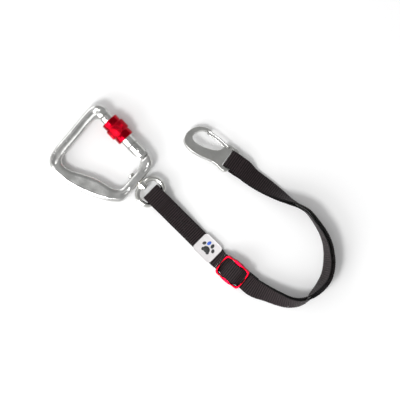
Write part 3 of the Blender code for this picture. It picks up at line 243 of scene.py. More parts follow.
def nylonWebbing():
    # woven nylon 6.6: brown-black and dull, each rib's crest painted lighter as a painted highlight and each
    # groove painted near black as painted shade; UV is in millimetres
    look = {
        # crest is the painted highlight colour on each rib's crest, groove the painted shade colour down in the
        # grooves
        "crest": "#3a2e31", "groove": "#010101", "pale": "#b9b2b4",
        "yarn": 0.55, "fibres": 3.2, "heather": 0.35, "yarnShare": 0.35, "heatherShare": 0.5,
    }
    material, tree, shader = newMaterial("wovenNylonWebbing", {
        "Roughness": 0.7, "Sheen Weight": 0.08, "Sheen Roughness": 0.4, "Specular IOR Level": 0.2,
    })
    uv = addNode(tree, "ShaderNodeUVMap", {"uv_map": "weave"}).outputs["UV"]
    yarnPlace = addNode(tree, "ShaderNodeMapping", {"Scale": (0.9, 1 / look["yarn"], 1)}, {"Vector": uv})
    bands = {"wave_type": "BANDS", "bands_direction": "Y", "Scale": 0.314, "Distortion": 0.8,
             "Detail": 2.0, "Detail Scale": 2.0}
    yarn = addNode(tree, "ShaderNodeTexWave", bands, {"Vector": yarnPlace.outputs["Vector"]})
    fibres = addNode(tree, "ShaderNodeTexNoise", {"Scale": look["fibres"], "Detail": 4.0}, {"Vector": uv})
    heather = addNode(tree, "ShaderNodeTexNoise", {"Scale": look["heather"], "Detail": 2.0}, {"Vector": uv})
    height = addNode(tree, "ShaderNodeAttribute", {"attribute_name": "ribHeight"}).outputs["Fac"]
    # the rib's height picks the colour: painted shade in the grooves, painted highlight on the crests
    ribShadeAndHighlight = rampBetween(tree, height, hexColour(look["groove"]), hexColour(look["crest"]), 0.45, 0.98)
    mixed = addNode(tree, "ShaderNodeMix", {"data_type": "RGBA", "blend_type": "MULTIPLY"})
    mixed.inputs["Factor"].default_value = look["yarnShare"]
    tree.links.new(ribShadeAndHighlight, mixed.inputs[6])
    yarnShade = rampBetween(tree, yarn.outputs["Fac"], (0.45, 0.45, 0.45, 1), (1, 1, 1, 1), 0.2, 0.8)
    tree.links.new(yarnShade, mixed.inputs[7])
    varied = addNode(tree, "ShaderNodeMix", {"data_type": "RGBA", "blend_type": "MULTIPLY"})
    varied.inputs["Factor"].default_value = look["heatherShare"]
    tree.links.new(mixed.outputs[2], varied.inputs[6])
    heatherShade = rampBetween(tree, heather.outputs["Fac"], hexColour(look["pale"]), (1, 1, 1, 1))
    tree.links.new(heatherShade, varied.inputs[7])
    tree.links.new(varied.outputs[2], shader.inputs["Base Color"])
    yarnBump = addNode(tree, "ShaderNodeBump", {"Strength": 0.5, "Distance": 0.12 * mm},
                       {"Height": yarn.outputs["Fac"]})
    fibreBump = addNode(tree, "ShaderNodeBump", {"Strength": 0.35, "Distance": 0.08 * mm},
                        {"Height": fibres.outputs["Fac"], "Normal": yarnBump.outputs["Normal"]})
    tree.links.new(fibreBump.outputs["Normal"], shader.inputs["Normal"])
    return material


def softFinish(name, look):
    # rubber, thread and plastic: one colour with a mottle and a fine tooth
    material, tree, shader = newMaterial(name, {"Roughness": look["rough"]})
    place = addNode(tree, "ShaderNodeTexCoord").outputs["Object"]
    mottle = addNode(tree, "ShaderNodeTexNoise", {"Scale": 1 / (look["mottle"] * mm), "Detail": 4.0},
                     {"Vector": place})
    tooth = addNode(tree, "ShaderNodeTexNoise", {"Scale": 1 / (look["tooth"] * mm), "Detail": 2.0},
                    {"Vector": place})
    colour = rampBetween(tree, mottle.outputs["Fac"], hexColour(look["dark"]), hexColour(look["colour"]))
    tree.links.new(colour, shader.inputs["Base Color"])
    bump = addNode(tree, "ShaderNodeBump", {"Strength": look["bump"], "Distance": 0.05 * mm},
                   {"Height": tooth.outputs["Fac"]})
    tree.links.new(bump.outputs["Normal"], shader.inputs["Normal"])
    return material


webbingCloth = nylonWebbing()
# bonded polyester thread: waxy, twisted
bondedThread = softFinish("bondedPolyesterThread", {"colour": "#171213", "dark": "#080606", "rough": 0.55,
    "mottle": 0.6, "tooth": 0.25, "bump": 0.5})
# moulded soft PVC: chalky white with a fine eggshell tooth
whiteRubber = softFinish("mouldedSoftPvcWhite", {"colour": "#dedbdc", "dark": "#d6d3d4", "rough": 0.58,
    "mottle": 4.0, "tooth": 0.35, "bump": 0.12})
darkRubber = softFinish("mouldedSoftPvcDark", {"colour": "#2f2f31", "dark": "#232325", "rough": 0.5,
    "mottle": 2.0, "tooth": 0.3, "bump": 0.1})
blueRubber = softFinish("mouldedSoftPvcBlue", {"colour": "#2f66d8", "dark": "#2858bd", "rough": 0.5,
    "mottle": 2.0, "tooth": 0.3, "bump": 0.1})
# nitrile seal and nylon 6 washer
nitrileRubber = softFinish("nitrileRubber", {"colour": "#1c1c1c", "dark": "#101010", "rough": 0.6,
    "mottle": 1.5, "tooth": 0.3, "bump": 0.2})
naturalNylon = softFinish("naturalNylonSix", {"colour": "#dcd9cf", "dark": "#cdcabf", "rough": 0.4,
    "mottle": 2.0, "tooth": 0.4, "bump": 0.1})
print("stage: materials made")


# metal castings, from merged copies of the CAD solids
def mergedCopy(node, name):
    piece = bpy.data.objects.new(name, nodes[node].data.copy())
    bpy.context.scene.collection.objects.link(piece)
    makeActive(piece)
    bpy.ops.object.mode_set(mode="EDIT")
    bpy.ops.mesh.select_all(action="SELECT")
    bpy.ops.mesh.remove_doubles(threshold=weldWithin)
    leaveEdit()
    return piece


def castPiece(node, name, look):
    # voxels even the surface out, and smoothing rolls the edges as casting and tumbling do
    piece = mergedCopy(node, name)
    addModifier(piece, "REMESH", mode="VOXEL", voxel_size=look["voxel"] * mm, use_smooth_shade=True)
    addModifier(piece, "SMOOTH", factor=0.5, iterations=look["rounds"])
    applyAll(piece)
    bpy.ops.object.shade_smooth()
    return piece


castings = {
    "carabiner_body": {"body": "carabiner", "voxel": 0.36, "rounds": 6,
        "finish": polishedAluminium, "slot": "polished_aluminium"},
    "gate_barrel": {"body": "gate", "voxel": 0.25, "rounds": 5,
        "finish": polishedAluminium, "slot": "polished_aluminium"},
    "hook_body": {"body": "hook", "voxel": 0.26, "rounds": 5,
        "finish": satinAluminium, "slot": "satin_aluminium"},
    "swivel_eye": {"body": "eye", "voxel": 0.25, "rounds": 4,
        "finish": nickelPlate, "slot": "plated_steel"},
    "slider_frame": {"body": "slider", "voxel": 0.18, "rounds": 6,
        "finish": redAnodised, "slot": "red_anodised"},
}
for node, look in castings.items():
    casting = castPiece(node, node + "_cast", look)
    dress(casting, look["finish"], look["body"], look["slot"], node)
    print("stage: cast", node, len(casting.data.polygons), "faces")

turnedPieces = {
    "gate_rivet": ("gate", drawnStainless, "spring_steel"),
    "latch_pin": ("gate", drawnStainless, "spring_steel"),
    "sleeve_stop_ring": ("gate", drawnStainless, "spring_steel"),
    "swivel_post": ("eye", nickelPlate, "plated_steel"),
    "swivel_washer": ("carabiner", naturalNylon, "nylon"),
    "gate_plunger": ("plunger", drawnStainless, "spring_steel"),
    "gate_spring": ("gate", drawnStainless, "spring_steel"),
    "sleeve_o_ring": ("sleeve_ring", nitrileRubber, "black_rubber"),
}
for node, (body, finish, slotName) in turnedPieces.items():
    turned = mergedCopy(node, node + "_turned")
    addModifier(turned, "BEVEL", width=0.08 * mm, segments=2, limit_method="ANGLE",
                angle_limit=math.radians(40))
    applyAll(turned)
    bpy.ops.object.shade_smooth_by_angle(angle=math.radians(35))
    if node == "gate_spring":
        # it rides on two bodies: it shortens along the bore as the plunger comes in
        turned.data.materials.clear()
        turned.data.materials.append(finish)
        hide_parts(node)
        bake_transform(turned)
    else:
        dress(turned, finish, body, slotName, node)
print("stage: turned pieces made")


# lock sleeve: turned, then the grip band is ribbed
def latheProfile(name, points, steps):
    # one vertex is drawn out along the profile, which is then spun about X
    bpy.ops.mesh.primitive_plane_add(size=1 * mm)
    piece = bpy.context.object
    piece.name = name
    bpy.ops.object.mode_set(mode="EDIT")
    bpy.ops.mesh.select_all(action="SELECT")
    bpy.ops.mesh.merge(type="CENTER")
    bpy.ops.transform.translate(value=(points[0][0] * mm, 0, points[0][1] * mm))
    for (ax, ar), (bx, br) in zip(points, points[1:]):
        step = ((bx - ax) * mm, 0, (br - ar) * mm)
        bpy.ops.mesh.extrude_vertices_move(TRANSFORM_OT_translate={"value": step})
    bpy.ops.mesh.select_all(action="SELECT")
    bpy.ops.mesh.spin(steps=steps, angle=2 * math.pi, center=(0, 0, 0), axis=(1, 0, 0))
    bpy.ops.mesh.select_all(action="SELECT")
    bpy.ops.mesh.remove_doubles(threshold=weldWithin)
    bpy.ops.mesh.normals_make_consistent(inside=False)
    leaveEdit()
    return piece


sleeveLook = {
    "start": 17.9, "end": 43.98, "bore": 7.0, "flare": 0.4, "collar": 9.45, "rimRound": 0.9, "sink": 0.35,
    "band": 10.75, "bandFrom": 25.5, "bandTo": 36.8, "bandRound": 0.7, "ribs": 36, "ribDepth": 0.65,
    "up": (0, -0.0736, 0.9973),
}


def makeSleeve():
    s = sleeveLook
    start, end, bore, collar, band = (s[key] for key in ("start", "end", "bore", "collar", "band"))
    bandFrom, bandTo = s["bandFrom"], s["bandTo"]
    mouth, rim = bore + s["flare"], collar - s["rimRound"]
    groove, foot = collar - s["sink"], band - s["bandRound"]
    # place along the gate and radius: rim, collar and groove, the grip band, then the same back and the bore
    profile = [
        (start, mouth), (start, rim), (start + 0.25, groove), (start + 0.9, collar),
        (bandFrom - 1.5, collar), (bandFrom - 0.6, groove), (bandFrom, groove),
        (bandFrom, foot), (bandFrom + 0.8, band), (bandTo - 0.8, band), (bandTo, foot),
        (bandTo, groove), (bandTo + 0.6, groove), (bandTo + 1.4, collar),
        (end - 0.9, collar), (end - 0.25, groove), (end, rim), (end, mouth),
        (end - 0.5, bore), (start + 0.5, bore), (start, mouth),
    ]
    perRib = 6
    sleeve = latheProfile("lock_sleeve_ribbed", profile, s["ribs"] * perRib)
    low, high = (band - 0.2) * mm, band * mm
    step = 2 * math.pi / (s["ribs"] * perRib)

    def isValley(at):
        radius = math.hypot(at.y, at.z)
        place = round(math.atan2(at.y, at.z) / step) % perRib
        return radius > low and radius < high * 1.01 and place in (0, 1)

    pickVertices(sleeve, isValley)
    share = 1 - s["ribDepth"] / band
    bpy.ops.transform.resize(value=(1, share, share), center_override=(0, 0, 0))
    leaveEdit()
    addModifier(sleeve, "BEVEL", width=0.07 * mm, segments=2, limit_method="ANGLE",
                angle_limit=math.radians(28))
    applyAll(sleeve)
    bpy.ops.object.shade_smooth_by_angle(angle=math.radians(50))
    turn = joints["sleeve_turn"]
    placeBy(sleeve, frameAt(turn["pos_m"], turn["axis"], s["up"]))
    dress(sleeve, redAnodised, "sleeve", "red_anodised", "lock_sleeve")
    print("stage: sleeve", len(sleeve.data.polygons), "faces")


makeSleeve()


# webbing: one rib of weave, repeated and laid along each run
webbingLook = {
    "width": 20.0, "thickness": 1.5, "pitch": 2.3, "crest": 0.75, "groove": 0.36,
    "shoulder": 0.2, "flank": 0.36, "rim": 0.35, "selvage": 1.0, "pinch": 0.14,
}


def makeRib():
    # one pitch of webbing as a box with no ends: crest in the middle, grooves at both ends
    w = webbingLook
    bpy.ops.mesh.primitive_cube_add(size=1)
    rib = bpy.context.object
    rib.name = "rib"
    rib.scale = (w["pitch"] * mm, w["width"] * mm, w["thickness"] * mm)
    bpy.ops.object.transform_apply(location=False, rotation=False, scale=True)
    pickFaces(rib, lambda at, normal: abs(normal.x) > 0.9)
    bpy.ops.mesh.delete(type="FACE")
    edge, shoulder, flank = w["width"] / 2, w["shoulder"], w["flank"]
    rim, selvage = edge - w["rim"], edge - w["selvage"]
    cuts = [(x * w["pitch"], (1, 0, 0)) for x in (-flank, -shoulder, 0, shoulder, flank)]
    cuts += [(y, (0, 1, 0)) for y in (-rim, -selvage, -6.0, -3.0, 0, 3.0, 6.0, selvage, rim)]
    for place, normal in cuts:
        bpy.ops.mesh.select_all(action="SELECT")
        point = tuple(place * mm * n for n in normal)
        bpy.ops.mesh.bisect(plane_co=point, plane_no=normal)
    leaveEdit()
    # the profile along the run from crest to groove, as share of a pitch and half thickness there
    levels = ((0.0, w["crest"]), (shoulder, w["crest"] - 0.06), (flank, w["crest"] - 0.22), (0.5, w["groove"]))
    near = 0.02 * mm
    for share, level in levels:
        for face in (1, -1):
            pickVertices(rib, lambda at: abs(abs(at.x) - share * w["pitch"] * mm) < near and at.z * face > 0)
            bpy.ops.transform.translate(value=(0, 0, face * (level - w["thickness"] / 2) * mm))
            leaveEdit()
    # the selvages are rounded, and drawn in a little at each groove
    for inset, share in ((0.0, 0.45), (w["rim"], 0.86)):
        pickVertices(rib, lambda at: abs(abs(at.y) - (edge - inset) * mm) < near)
        bpy.ops.transform.resize(value=(1, 1, share), center_override=(0, 0, 0))
        leaveEdit()
    pickVertices(rib, lambda at: abs(at.x) > 0.45 * w["pitch"] * mm and abs(at.y) > (edge - 0.5) * mm)
    bpy.ops.transform.resize(value=(1, 1 - w["pinch"] / edge, 1), center_override=(0, 0, 0))
    leaveEdit()
    rib.hide_render = True
    return rib


ribTemplate = makeRib()


def layWebbing(name, route, body):
    # route: rows of centre and width direction, in metres
    centres = np.array([row[0] for row in route], float)
    widths = np.array([row[1] for row in route], float)
    steps = np.linalg.norm(np.diff(centres, axis=0), axis=1)
    along = np.concatenate(([0], np.cumsum(steps)))
    count = max(2, round(along[-1] / (webbingLook["pitch"] * mm)))
    pitch = along[-1] / count
    piece = bpy.data.objects.new(name, ribTemplate.data.copy())
    bpy.context.scene.collection.objects.link(piece)
    addModifier(piece, "ARRAY", count=count, use_relative_offset=False, use_constant_offset=True,
                constant_offset_displace=(webbingLook["pitch"] * mm, 0, 0), use_merge_vertices=True,
                merge_threshold=0.01 * mm)
    applyAll(piece)
    bpy.ops.object.mode_set(mode="EDIT")
    bpy.ops.mesh.select_all(action="SELECT")
    bpy.ops.mesh.fill_holes(sides=0)
    leaveEdit()
    mesh = piece.data
    flat = np.zeros(len(mesh.vertices) * 3)
    mesh.vertices.foreach_get("co", flat)
    flat = flat.reshape(-1, 3)
    place = (flat[:, 0] / (webbingLook["pitch"] * mm) + 0.5) * pitch
    # weave map in millimetres along and across, and the rib's height for the grooves' shade
    loopVertex = np.zeros(len(mesh.loops), int)
    mesh.loops.foreach_get("vertex_index", loopVertex)
    layer = mesh.uv_layers.new(name="weave")
    uv = np.stack([place[loopVertex], flat[loopVertex, 1]], 1) / mm
    layer.data.foreach_set("uv", uv.ravel())
    height = mesh.attributes.new("ribHeight", "FLOAT", "POINT")
    low, high = webbingLook["groove"] * mm, webbingLook["crest"] * mm
    height.data.foreach_set("value", np.clip((np.abs(flat[:, 2]) - low) / (high - low), 0, 1))
    tangents = np.gradient(centres, along, axis=0)
    tangents /= np.linalg.norm(tangents, axis=1)[:, None]
    widths -= tangents * np.sum(widths * tangents, axis=1)[:, None]
    widths /= np.linalg.norm(widths, axis=1)[:, None]
    normals = np.cross(widths, tangents)

    def at(rows):
        return np.stack([np.interp(place, along, rows[:, i]) for i in range(3)], 1)

    laid = at(centres) + at(widths) * flat[:, 1:2] + at(normals) * flat[:, 2:3]
    mesh.vertices.foreach_set("co", laid.ravel())
    mesh.update()
    makeActive(piece)
    bpy.ops.object.mode_set(mode="EDIT")
    bpy.ops.mesh.select_all(action="SELECT")
    bpy.ops.mesh.normals_make_consistent(inside=False)
    leaveEdit()
    bpy.ops.object.shade_smooth_by_angle(angle=math.radians(50))
    piece.data.materials.append(webbingCloth)
    if body:
        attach(piece, body)
    print("stage: laid", name, round(along[-1] / mm), "mm")
    return piece


def bentRoute(points, matrix):
    # a smooth line through points in the matrix's XY plane, the webbing's width along its Z
    curve = bpy.data.curves.new("bend", "CURVE")
    curve.dimensions = "3D"
    curve.resolution_u = 10
    spline = curve.splines.new("BEZIER")
    spline.bezier_points.add(len(points) - 1)
    for knot, (x, y) in zip(spline.bezier_points, points):
        knot.co = (x * mm, y * mm, 0)
        knot.handle_left_type = knot.handle_right_type = "AUTO"
    line = bpy.data.objects.new("bend", curve)
    bpy.context.scene.collection.objects.link(line)
    makeActive(line)
    bpy.ops.object.convert(target="MESH")
    line = bpy.context.object
    width = -(matrix.to_3x3() @ Vector((0, 0, 1)))
    route = [(matrix @ vertex.co, width) for vertex in line.data.vertices]
    bpy.data.objects.remove(line, do_unlink=True)
    return route


leastHalfGap = 0.9  # between the middles of the two layers where they lie together


def rolledRoute(stations, layer, spacing):
    # stations: x, y, z, roll from flat in degrees, half the gap between layers, in millimetres
    rows = np.array(stations, float)
    spans = np.linalg.norm(np.diff(rows[:, :3], axis=0), axis=1)
    last = len(rows) - 1
    slopes = []
    for i in range(last + 1):
        low, high = max(i - 1, 0), min(i + 1, last)
        slopes.append((rows[high] - rows[low]) / sum(spans[low:high]))
    dense = []
    for i, span in enumerate(spans):
        count = max(1, round(span / spacing))
        for t in (step / count for step in range(count)):
            row = rows[i] * (2 * t**3 - 3 * t**2 + 1) + rows[i + 1] * (3 * t**2 - 2 * t**3)
            row = row + slopes[i] * span * (t**3 - 2 * t**2 + t) + slopes[i + 1] * span * (t**3 - t**2)
            dense.append(row)
    dense.append(rows[-1])
    route = []
    for i, row in enumerate(dense):
        travel = Vector(dense[min(i + 1, len(dense) - 1)][:3] - dense[max(i - 1, 0)][:3]).normalized()
        right = travel.cross(Vector((0, 0, 1))).normalized()
        roll = math.radians(row[3])
        normal = right.cross(travel) * math.cos(roll) + right * math.sin(roll)
        centre = (Vector(row[:3]) + normal * layer * max(row[4], leastHalfGap)) * mm
        route.append((centre, travel.cross(normal)))
    return route


# the double run from the slider round the bend to the hook
doubleRun = (
    (88.3, -28.6, 7.64, 17, 0.90), (97.2, -28.4, 8.51, 17, 0.90), (113.3, -24.0, 8.11, 40, 0.90),
    (125.3, -20.3, 8.99, 48, 0.95), (135.3, -16.1, 9.89, 58, 1.13), (143.3, -9.6, 10.53, 70, 1.34),
    (147.8, -1.6, 10.64, 82, 1.55), (149.3, 5.6, 10.60, 95, 1.78), (150.1, 16.4, 10.78, 105, 1.95),
    (148.9, 27.2, 10.70, 112, 1.95), (145.3, 35.9, 10.68, 113, 1.95), (140.1, 43.6, 10.70, 112, 1.95),
    (133.8, 50.4, 10.76, 108, 1.95), (126.1, 56.9, 10.77, 104, 1.93), (116.8, 61.9, 10.72, 100, 1.86),
    (106.7, 65.4, 10.63, 96, 1.79), (91.1, 69.0, 10.50, 92, 1.72), (83.3, 68.4, 10.42, 90, 1.69),
    (75.6, 66.7, 10.56, 86, 1.62), (66.3, 64.6, 10.64, 75, 1.43), (57.0, 63.0, 10.04, 60, 1.16),
    (38.6, 60.4, 7.88, 38, 0.90), (21.6, 58.6, 6.29, 26, 0.90), (10.4, 58.9, 8.32, 20, 3.04),
    (4.5, 58.3, 8.32, 20, 4.05),
)
leadRun = (
    (34.30, -28.04, 2.97, 0, 0), (46.61, -29.03, 2.97, 0, 0), (47.61, -29.11, 2.97, 0, 0),
    (51.52, -29.46, 5.28, 17, 0), (52.51, -29.44, 5.37, 17, 0),
)
eyeLoopBend = ((80.00, 1.22), (52.00, 3.52), (40.00, 4.50), (34.50, 4.35), (30.00, 4.46), (20.40, 4.26),
               (16.55, 6.08), (14.95, 8.81), (16.55, 11.54), (20.40, 13.36), (30.00, 12.06), (35.00, 7.61),
               (40.00, 6.30), (52.00, 5.32), (82.50, 2.81), (87.50, 2.65), (98.95, 2.65))
sliderBend = ((-17.50, -3.25), (-15.50, -3.25), (-11.10, -2.85), (-8.55, -0.20), (-3.80, 2.65), (0.00, 2.85),
              (3.80, 2.65), (8.55, -0.20), (11.10, -2.85), (15.50, -3.25), (18.60, -3.25))
sewnEndBend = ((18.60, -5.05), (15.50, -5.05), (11.10, -4.75), (7.45, -2.10), (2.20, 0.85), (0.00, 0.85),
               (-3.00, 0.85), (-4.15, -1.30), (-3.00, -3.45), (2.80, -3.45), (9.30, -5.75), (13.30, -6.85),
               (15.50, -6.85), (26.00, -6.85))
hookBend = ((8.80, -4.05), (0.00, -4.05), (-4.15, -3.25), (-5.95, -1.20), (-5.95, 1.20), (-4.15, 3.25),
            (0.00, 4.05), (8.80, 4.05))


def matrixOf(origin, x, y, z):
    matrix = Matrix((x, y, z)).transposed().to_4x4()
    matrix.translation = Vector(origin) * mm
    return matrix


leadSide = matrixOf((-64.631, -20.079, 0.319), (0.99678, -0.0802, 0), (0, 0, 1), (-0.0802, -0.99678, 0))
seamPlane = matrixOf((-4.824, -24.891, 4.079), (0.99344, -0.07993, -0.08175), (0.0802, 0.99678, 0),
                     (0.08148, -0.00656, 0.99665))
labelPlane = matrixOf((34.15, -28.027, 2.969), (0.99678, -0.0802, 0), (0.0802, 0.99678, 0), (0, 0, 1))
sliderSide = matrixOf((69.989, -30.084, 10.019), (0.99604, 0.01739, 0.08716), (-0.07823, -0.29378, 0.95267),
                      (0.04217, -0.95571, -0.29126))
hookPlane = matrixOf((-3.811, 57.616, 8.319), (0.99619, 0.08716, 0), (-0.0819, 0.93612, -0.34202),
                     (-0.02981, 0.34072, 0.93969))
hookSide = matrixOf((-3.811, 57.616, 8.319), (0.99619, 0.08716, 0), (-0.02981, 0.34072, 0.93969),
                    (0.0819, -0.93612, 0.34202))

splitAt = 4  # the station where the part that follows the slider ends
eyeLoopPiece = layWebbing("webbing_loop_at_eye", bentRoute(eyeLoopBend, leadSide), "webbing")
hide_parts("webbing_eye_loop")
sliderPiece = layWebbing("webbing_in_slider", bentRoute(sliderBend, sliderSide), "slider")
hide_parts("webbing_slider_run")
sewnEndPiece = layWebbing("webbing_end_on_bar", bentRoute(sewnEndBend, sliderSide), "slider")
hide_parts("webbing_sewn_end")
hookPiece = layWebbing("webbing_turn_at_hook", bentRoute(hookBend, hookSide), "webbing")
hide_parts("webbing_hook_loop")
leadPiece = layWebbing("webbing_lead_run", rolledRoute(leadRun, 0, spacing=1.5), None)
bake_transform(leadPiece)
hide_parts("webbing_lead")
for layer, name, node in ((1, "upper", "webbing_upper_run"), (-1, "lower", "webbing_lower_run")):
    whole = rolledRoute(doubleRun, layer, spacing=2.0)
    turnAt = Vector(doubleRun[splitAt][:3]) * mm
    cut = min(range(len(whole)), key=lambda i: (whole[i][0] - turnAt).length)
    near = layWebbing(f"webbing_{name}_by_slider", whole[:cut + 1], None)
    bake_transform(near)
    far = layWebbing(f"webbing_{name}_to_hook", whole[cut:], "webbing")
    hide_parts(node)


# stitching
stitchLook = {"length": 2.9, "gap": 0.5, "thread": 0.62, "halfX": 17.8, "halfY": 7.8, "level": 1.72}


def makeStitches(name, level, node):
    s = stitchLook
    bpy.ops.mesh.primitive_uv_sphere_add(segments=8, ring_count=5, radius=0.5)
    stitch = bpy.context.object
    stitch.scale = (s["length"] * mm, s["thread"] * mm, s["thread"] * 0.7 * mm)
    bpy.ops.object.transform_apply(location=False, rotation=False, scale=True)
    halfX, halfY = s["halfX"], s["halfY"]
    corners = [(-halfX, -halfY), (halfX, -halfY), (halfX, halfY), (-halfX, halfY)]
    lines = [(corners[i], corners[(i + 1) % 4]) for i in range(4)]
    lines += [(corners[0], corners[2]), (corners[1], corners[3])]
    made = []
    for (ax, ay), (bx, by) in lines:
        run = math.dist((ax, ay), (bx, by))
        count = round(run / (s["length"] + s["gap"]))
        for i in range(count):
            share = (i + 0.5) / count
            copy = stitch.copy()
            copy.data = stitch.data.copy()
            bpy.context.scene.collection.objects.link(copy)
            turn = Matrix.Rotation(math.atan2(by - ay, bx - ax), 4, "Z")
            spot = Matrix.Translation(Vector((ax + (bx - ax) * share, ay + (by - ay) * share, level)) * mm)
            placeBy(copy, seamPlane @ spot @ turn)
            made.append(copy)
    bpy.data.objects.remove(stitch, do_unlink=True)
    deselectAll()
    for copy in made:
        copy.select_set(True)
    bpy.context.view_layer.objects.active = made[0]
    bpy.ops.object.join()
    row = bpy.context.object
    row.name = name
    bpy.ops.object.shade_smooth()
    return dress(row, bondedThread, "webbing", "thread", node)


makeStitches("box_stitches_top", stitchLook["level"], "box_stitch_top")
makeStitches("box_stitches_bottom", -stitchLook["level"], "box_stitch_bottom")
tack = mergedCopy("end_bartack", "end_bartack_thread")
addModifier(tack, "BEVEL", width=0.15 * mm, segments=2)
applyAll(tack)
dress(tack, bondedThread, "slider", "thread", "end_bartack")
print("stage: stitching made")


# label sleeve
labelLook = {"length": 24.6, "width": 22.6, "height": 3.9, "corner": 4.0, "border": 0.9, "sunk": 0.25,
             "wall": 0.25, "openWidth": 20.6, "openHeight": 1.95}


def makeLabel():
    s = labelLook
    bpy.ops.mesh.primitive_cube_add(size=1)
    label = bpy.context.object
    label.name = "label_sleeve_moulded"
    label.scale = (s["length"] * mm, s["width"] * mm, s["height"] * mm)
    bpy.ops.object.transform_apply(location=False, rotation=False, scale=True)
    pickEdges(label, lambda a, b: abs(a.z - b.z) > 1 * mm)
    bpy.ops.mesh.bevel(offset=s["corner"] * mm, segments=10, profile=0.5)
    leaveEdit()
    for face in (1, -1):
        pickFaces(label, lambda at, normal: normal.z * face > 0.9)
        bpy.ops.mesh.inset(thickness=s["border"] * mm, depth=0)
        bpy.ops.mesh.inset(thickness=s["wall"] * mm, depth=-s["sunk"] * mm)
        leaveEdit()
    bpy.ops.mesh.primitive_cube_add(size=1)
    opening = bpy.context.object
    opening.scale = (2 * s["length"] * mm, s["openWidth"] * mm, s["openHeight"] * mm)
    bpy.ops.object.transform_apply(location=False, rotation=False, scale=True)
    addModifier(label, "BOOLEAN", operation="DIFFERENCE", solver="EXACT", object=opening)
    addModifier(label, "BEVEL", width=0.22 * mm, segments=3, limit_method="ANGLE",
                angle_limit=math.radians(30))
    applyAll(label)
    bpy.data.objects.remove(opening, do_unlink=True)
    makeActive(label)
    bpy.ops.object.shade_smooth_by_angle(angle=math.radians(40))
    placeBy(label, labelPlane)
    return dress(label, whiteRubber, "webbing", "label_rubber", "label_sleeve")


# a plain paw: one pad with two lobes, and four toes, raised a little from the label's face
pawLook = {
    "height": 0.35, "turn": 90, "lift": 0.05, "lobes": (1, 2), "blueToe": 4,
    # x, y, length, width, turn
    "pads": (
        (-1.9, 0.0, 6.6, 7.8, 0), (-3.8, 3.1, 3.8, 3.6, 0), (-3.8, -3.1, 3.8, 3.6, 0),
        (1.4, 6.2, 4.4, 3.2, -28), (4.8, 2.4, 5.0, 3.4, -10), (4.8, -2.4, 5.0, 3.4, 10),
        (1.4, -6.2, 4.4, 3.2, 28),
    ),
}


def makePaw():
    s = pawLook
    made = []
    for number, (x, y, length, width, turn) in enumerate(s["pads"]):
        bpy.ops.mesh.primitive_cylinder_add(vertices=40, radius=0.5, depth=1)
        pad = bpy.context.object
        height = s["height"] - 0.02 * (number in s["lobes"])  # tops that don't coincide with the pad's
        pad.scale = (length * mm, width * mm, height * mm)
        bpy.ops.object.transform_apply(location=False, rotation=False, scale=True)
        addModifier(pad, "BEVEL", width=0.1 * mm, segments=3, limit_method="ANGLE",
                    angle_limit=math.radians(50))
        applyAll(pad)
        level = labelLook["height"] / 2 - labelLook["sunk"] + s["lift"]
        spot = Matrix.Translation(Vector((x, y, level)) * mm) @ Matrix.Rotation(math.radians(turn), 4, "Z")
        placeBy(pad, labelPlane @ Matrix.Rotation(math.radians(s["turn"]), 4, "Z") @ spot)
        pad.data.materials.append(blueRubber if number == s["blueToe"] else darkRubber)
        made.append(pad)
    deselectAll()
    for pad in made:
        pad.select_set(True)
    bpy.context.view_layer.objects.active = made[0]
    bpy.ops.object.join()
    paw = bpy.context.object
    paw.name = "label_paw"
    bpy.ops.object.shade_smooth_by_angle(angle=math.radians(40))
    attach(paw, "webbing")
    return paw


makeLabel()
makePaw()
print("stage: label made")


# hook gate wire
def roundWire(name, points, radius, matrix):
    curve = bpy.data.curves.new(name, "CURVE")
    curve.dimensions = "3D"
    curve.resolution_u = 8
    curve.bevel_depth = radius * mm
    curve.bevel_resolution = 5
    curve.use_fill_caps = True
    spline = curve.splines.new("BEZIER")
    spline.bezier_points.add(len(points) - 1)
    for knot, point in zip(spline.bezier_points, points):
        knot.co = Vector(point) * mm
        knot.handle_left_type = knot.handle_right_type = "AUTO"
    wire = bpy.data.objects.new(name, curve)
    bpy.context.scene.collection.objects.link(wire)
    makeActive(wire)
    bpy.ops.object.convert(target="MESH")
    wire = bpy.context.object
    bpy.ops.object.mode_set(mode="EDIT")
    bpy.ops.mesh.select_all(action="SELECT")
    bpy.ops.mesh.remove_doubles(threshold=weldWithin)
    bpy.ops.mesh.normals_make_consistent(inside=False)
    leaveEdit()
    bpy.ops.object.shade_smooth()
    return placeBy(wire, matrix)


wireLook = {"radius": 0.9, "level": 3.7, "pivot": (-12.6, 10.0), "latch": (-39.4, 11.7), "bow": 0.8}


def makeHookGate():
    s = wireLook
    x0, y0 = s["pivot"]
    x1, y1 = s["latch"]
    z = s["level"]
    upper = [(x0, y0, z - 2.8), (x0, y0, z - 1.3), (x0 - 0.4, y0, z - 0.35), (x0 - 1.6, y0 + 0.1, z),
             ((x0 + x1) / 2, (y0 + y1) / 2 + s["bow"], z), (x1 + 1.6, y1, z), (x1 + 0.4, y1, z - 0.35),
             (x1, y1, z - 1.3)]
    route = upper + [(x, y, -h) for x, y, h in reversed(upper)]
    wire = roundWire("hook_gate_bent_wire", route, s["radius"], hookPlane)
    return dress(wire, drawnStainless, "hook_gate", "spring_steel", "hook_gate_wire")


makeHookGate()
bpy.data.objects.remove(ribTemplate, do_unlink=True)
print("stage: hook gate made")


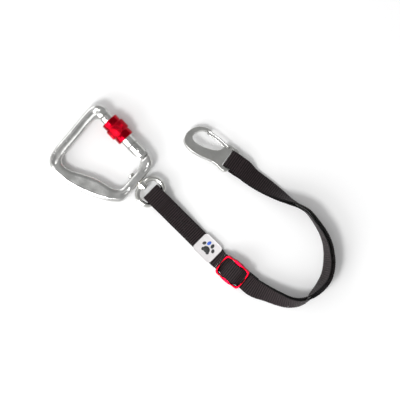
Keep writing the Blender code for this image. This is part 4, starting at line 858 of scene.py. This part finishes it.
# floor, light and camera
studioLook = {
    "turn": 40.2, "across": 0.420, "height": 2.0, "centre": (-0.0045, 0.0053), "sensor": 36, "floor": "#fafafa",
    "dimSide": (0.05, 0.40, 0.85), "bright": 1.0, "dim": 0.40,
    # place, size, power
    "lamps": (((-0.10, -0.95, 1.5), 0.5, 14), ((-0.2, -1.6, 0.7), 1.2, 15), ((-1.4, 0.1, 0.8), 0.9, 4)),
}


def makeStudio():
    s = studioLook
    bpy.ops.mesh.primitive_plane_add(size=8, location=(0, 0, 0))
    floor = bpy.context.object
    floor.name = "floor"
    material, tree, shader = newMaterial("whitePaper", {"Roughness": 0.9, "Specular IOR Level": 0.1})
    shader.inputs["Base Color"].default_value = hexColour(s["floor"])
    floor.data.materials.append(material)
    camera = bpy.data.objects.new("camera", bpy.data.cameras.new("camera"))
    bpy.context.scene.collection.objects.link(camera)
    bpy.context.scene.camera = camera
    camera.location = (*s["centre"], s["height"])
    camera.rotation_euler = (0, 0, math.radians(s["turn"]))
    camera.data.sensor_width = s["sensor"]
    camera.data.lens = s["sensor"] * s["height"] / s["across"]
    camera.data.clip_end = 20
    # each lamp is turned to the middle
    for number, (place, size, power) in enumerate(s["lamps"]):
        lamp = bpy.data.objects.new(f"softbox{number}", bpy.data.lights.new(f"softbox{number}", "AREA"))
        bpy.context.scene.collection.objects.link(lamp)
        lamp.data.shape = "DISK"
        lamp.data.size = size
        lamp.data.energy = power
        lamp.location = place
        lamp.rotation_euler = (-Vector(place)).to_track_quat("-Z", "Y").to_euler()
    world = bpy.data.worlds.new("studio")
    bpy.context.scene.world = world
    world.use_nodes = True
    tree = world.node_tree
    sky = tree.nodes["Background"]
    direction = addNode(tree, "ShaderNodeTexCoord").outputs["Generated"]
    # brightest low down on the -Y side, darkest overhead, so flat metal reads mid grey
    lean = addNode(tree, "ShaderNodeVectorMath", {"operation": "DOT_PRODUCT"}, {0: direction})
    lean.inputs[1].default_value = s["dimSide"]
    bright, dim = ((s[key],) * 3 + (1,) for key in ("bright", "dim"))
    shade = rampBetween(tree, lean.outputs["Value"], bright, dim, 0.05, 0.75)
    tree.links.new(shade, sky.inputs["Color"])
    sky.inputs["Strength"].default_value = 1.0


makeStudio()
bpy.context.scene.view_settings.view_transform = "Standard"
print("stage: studio ready")
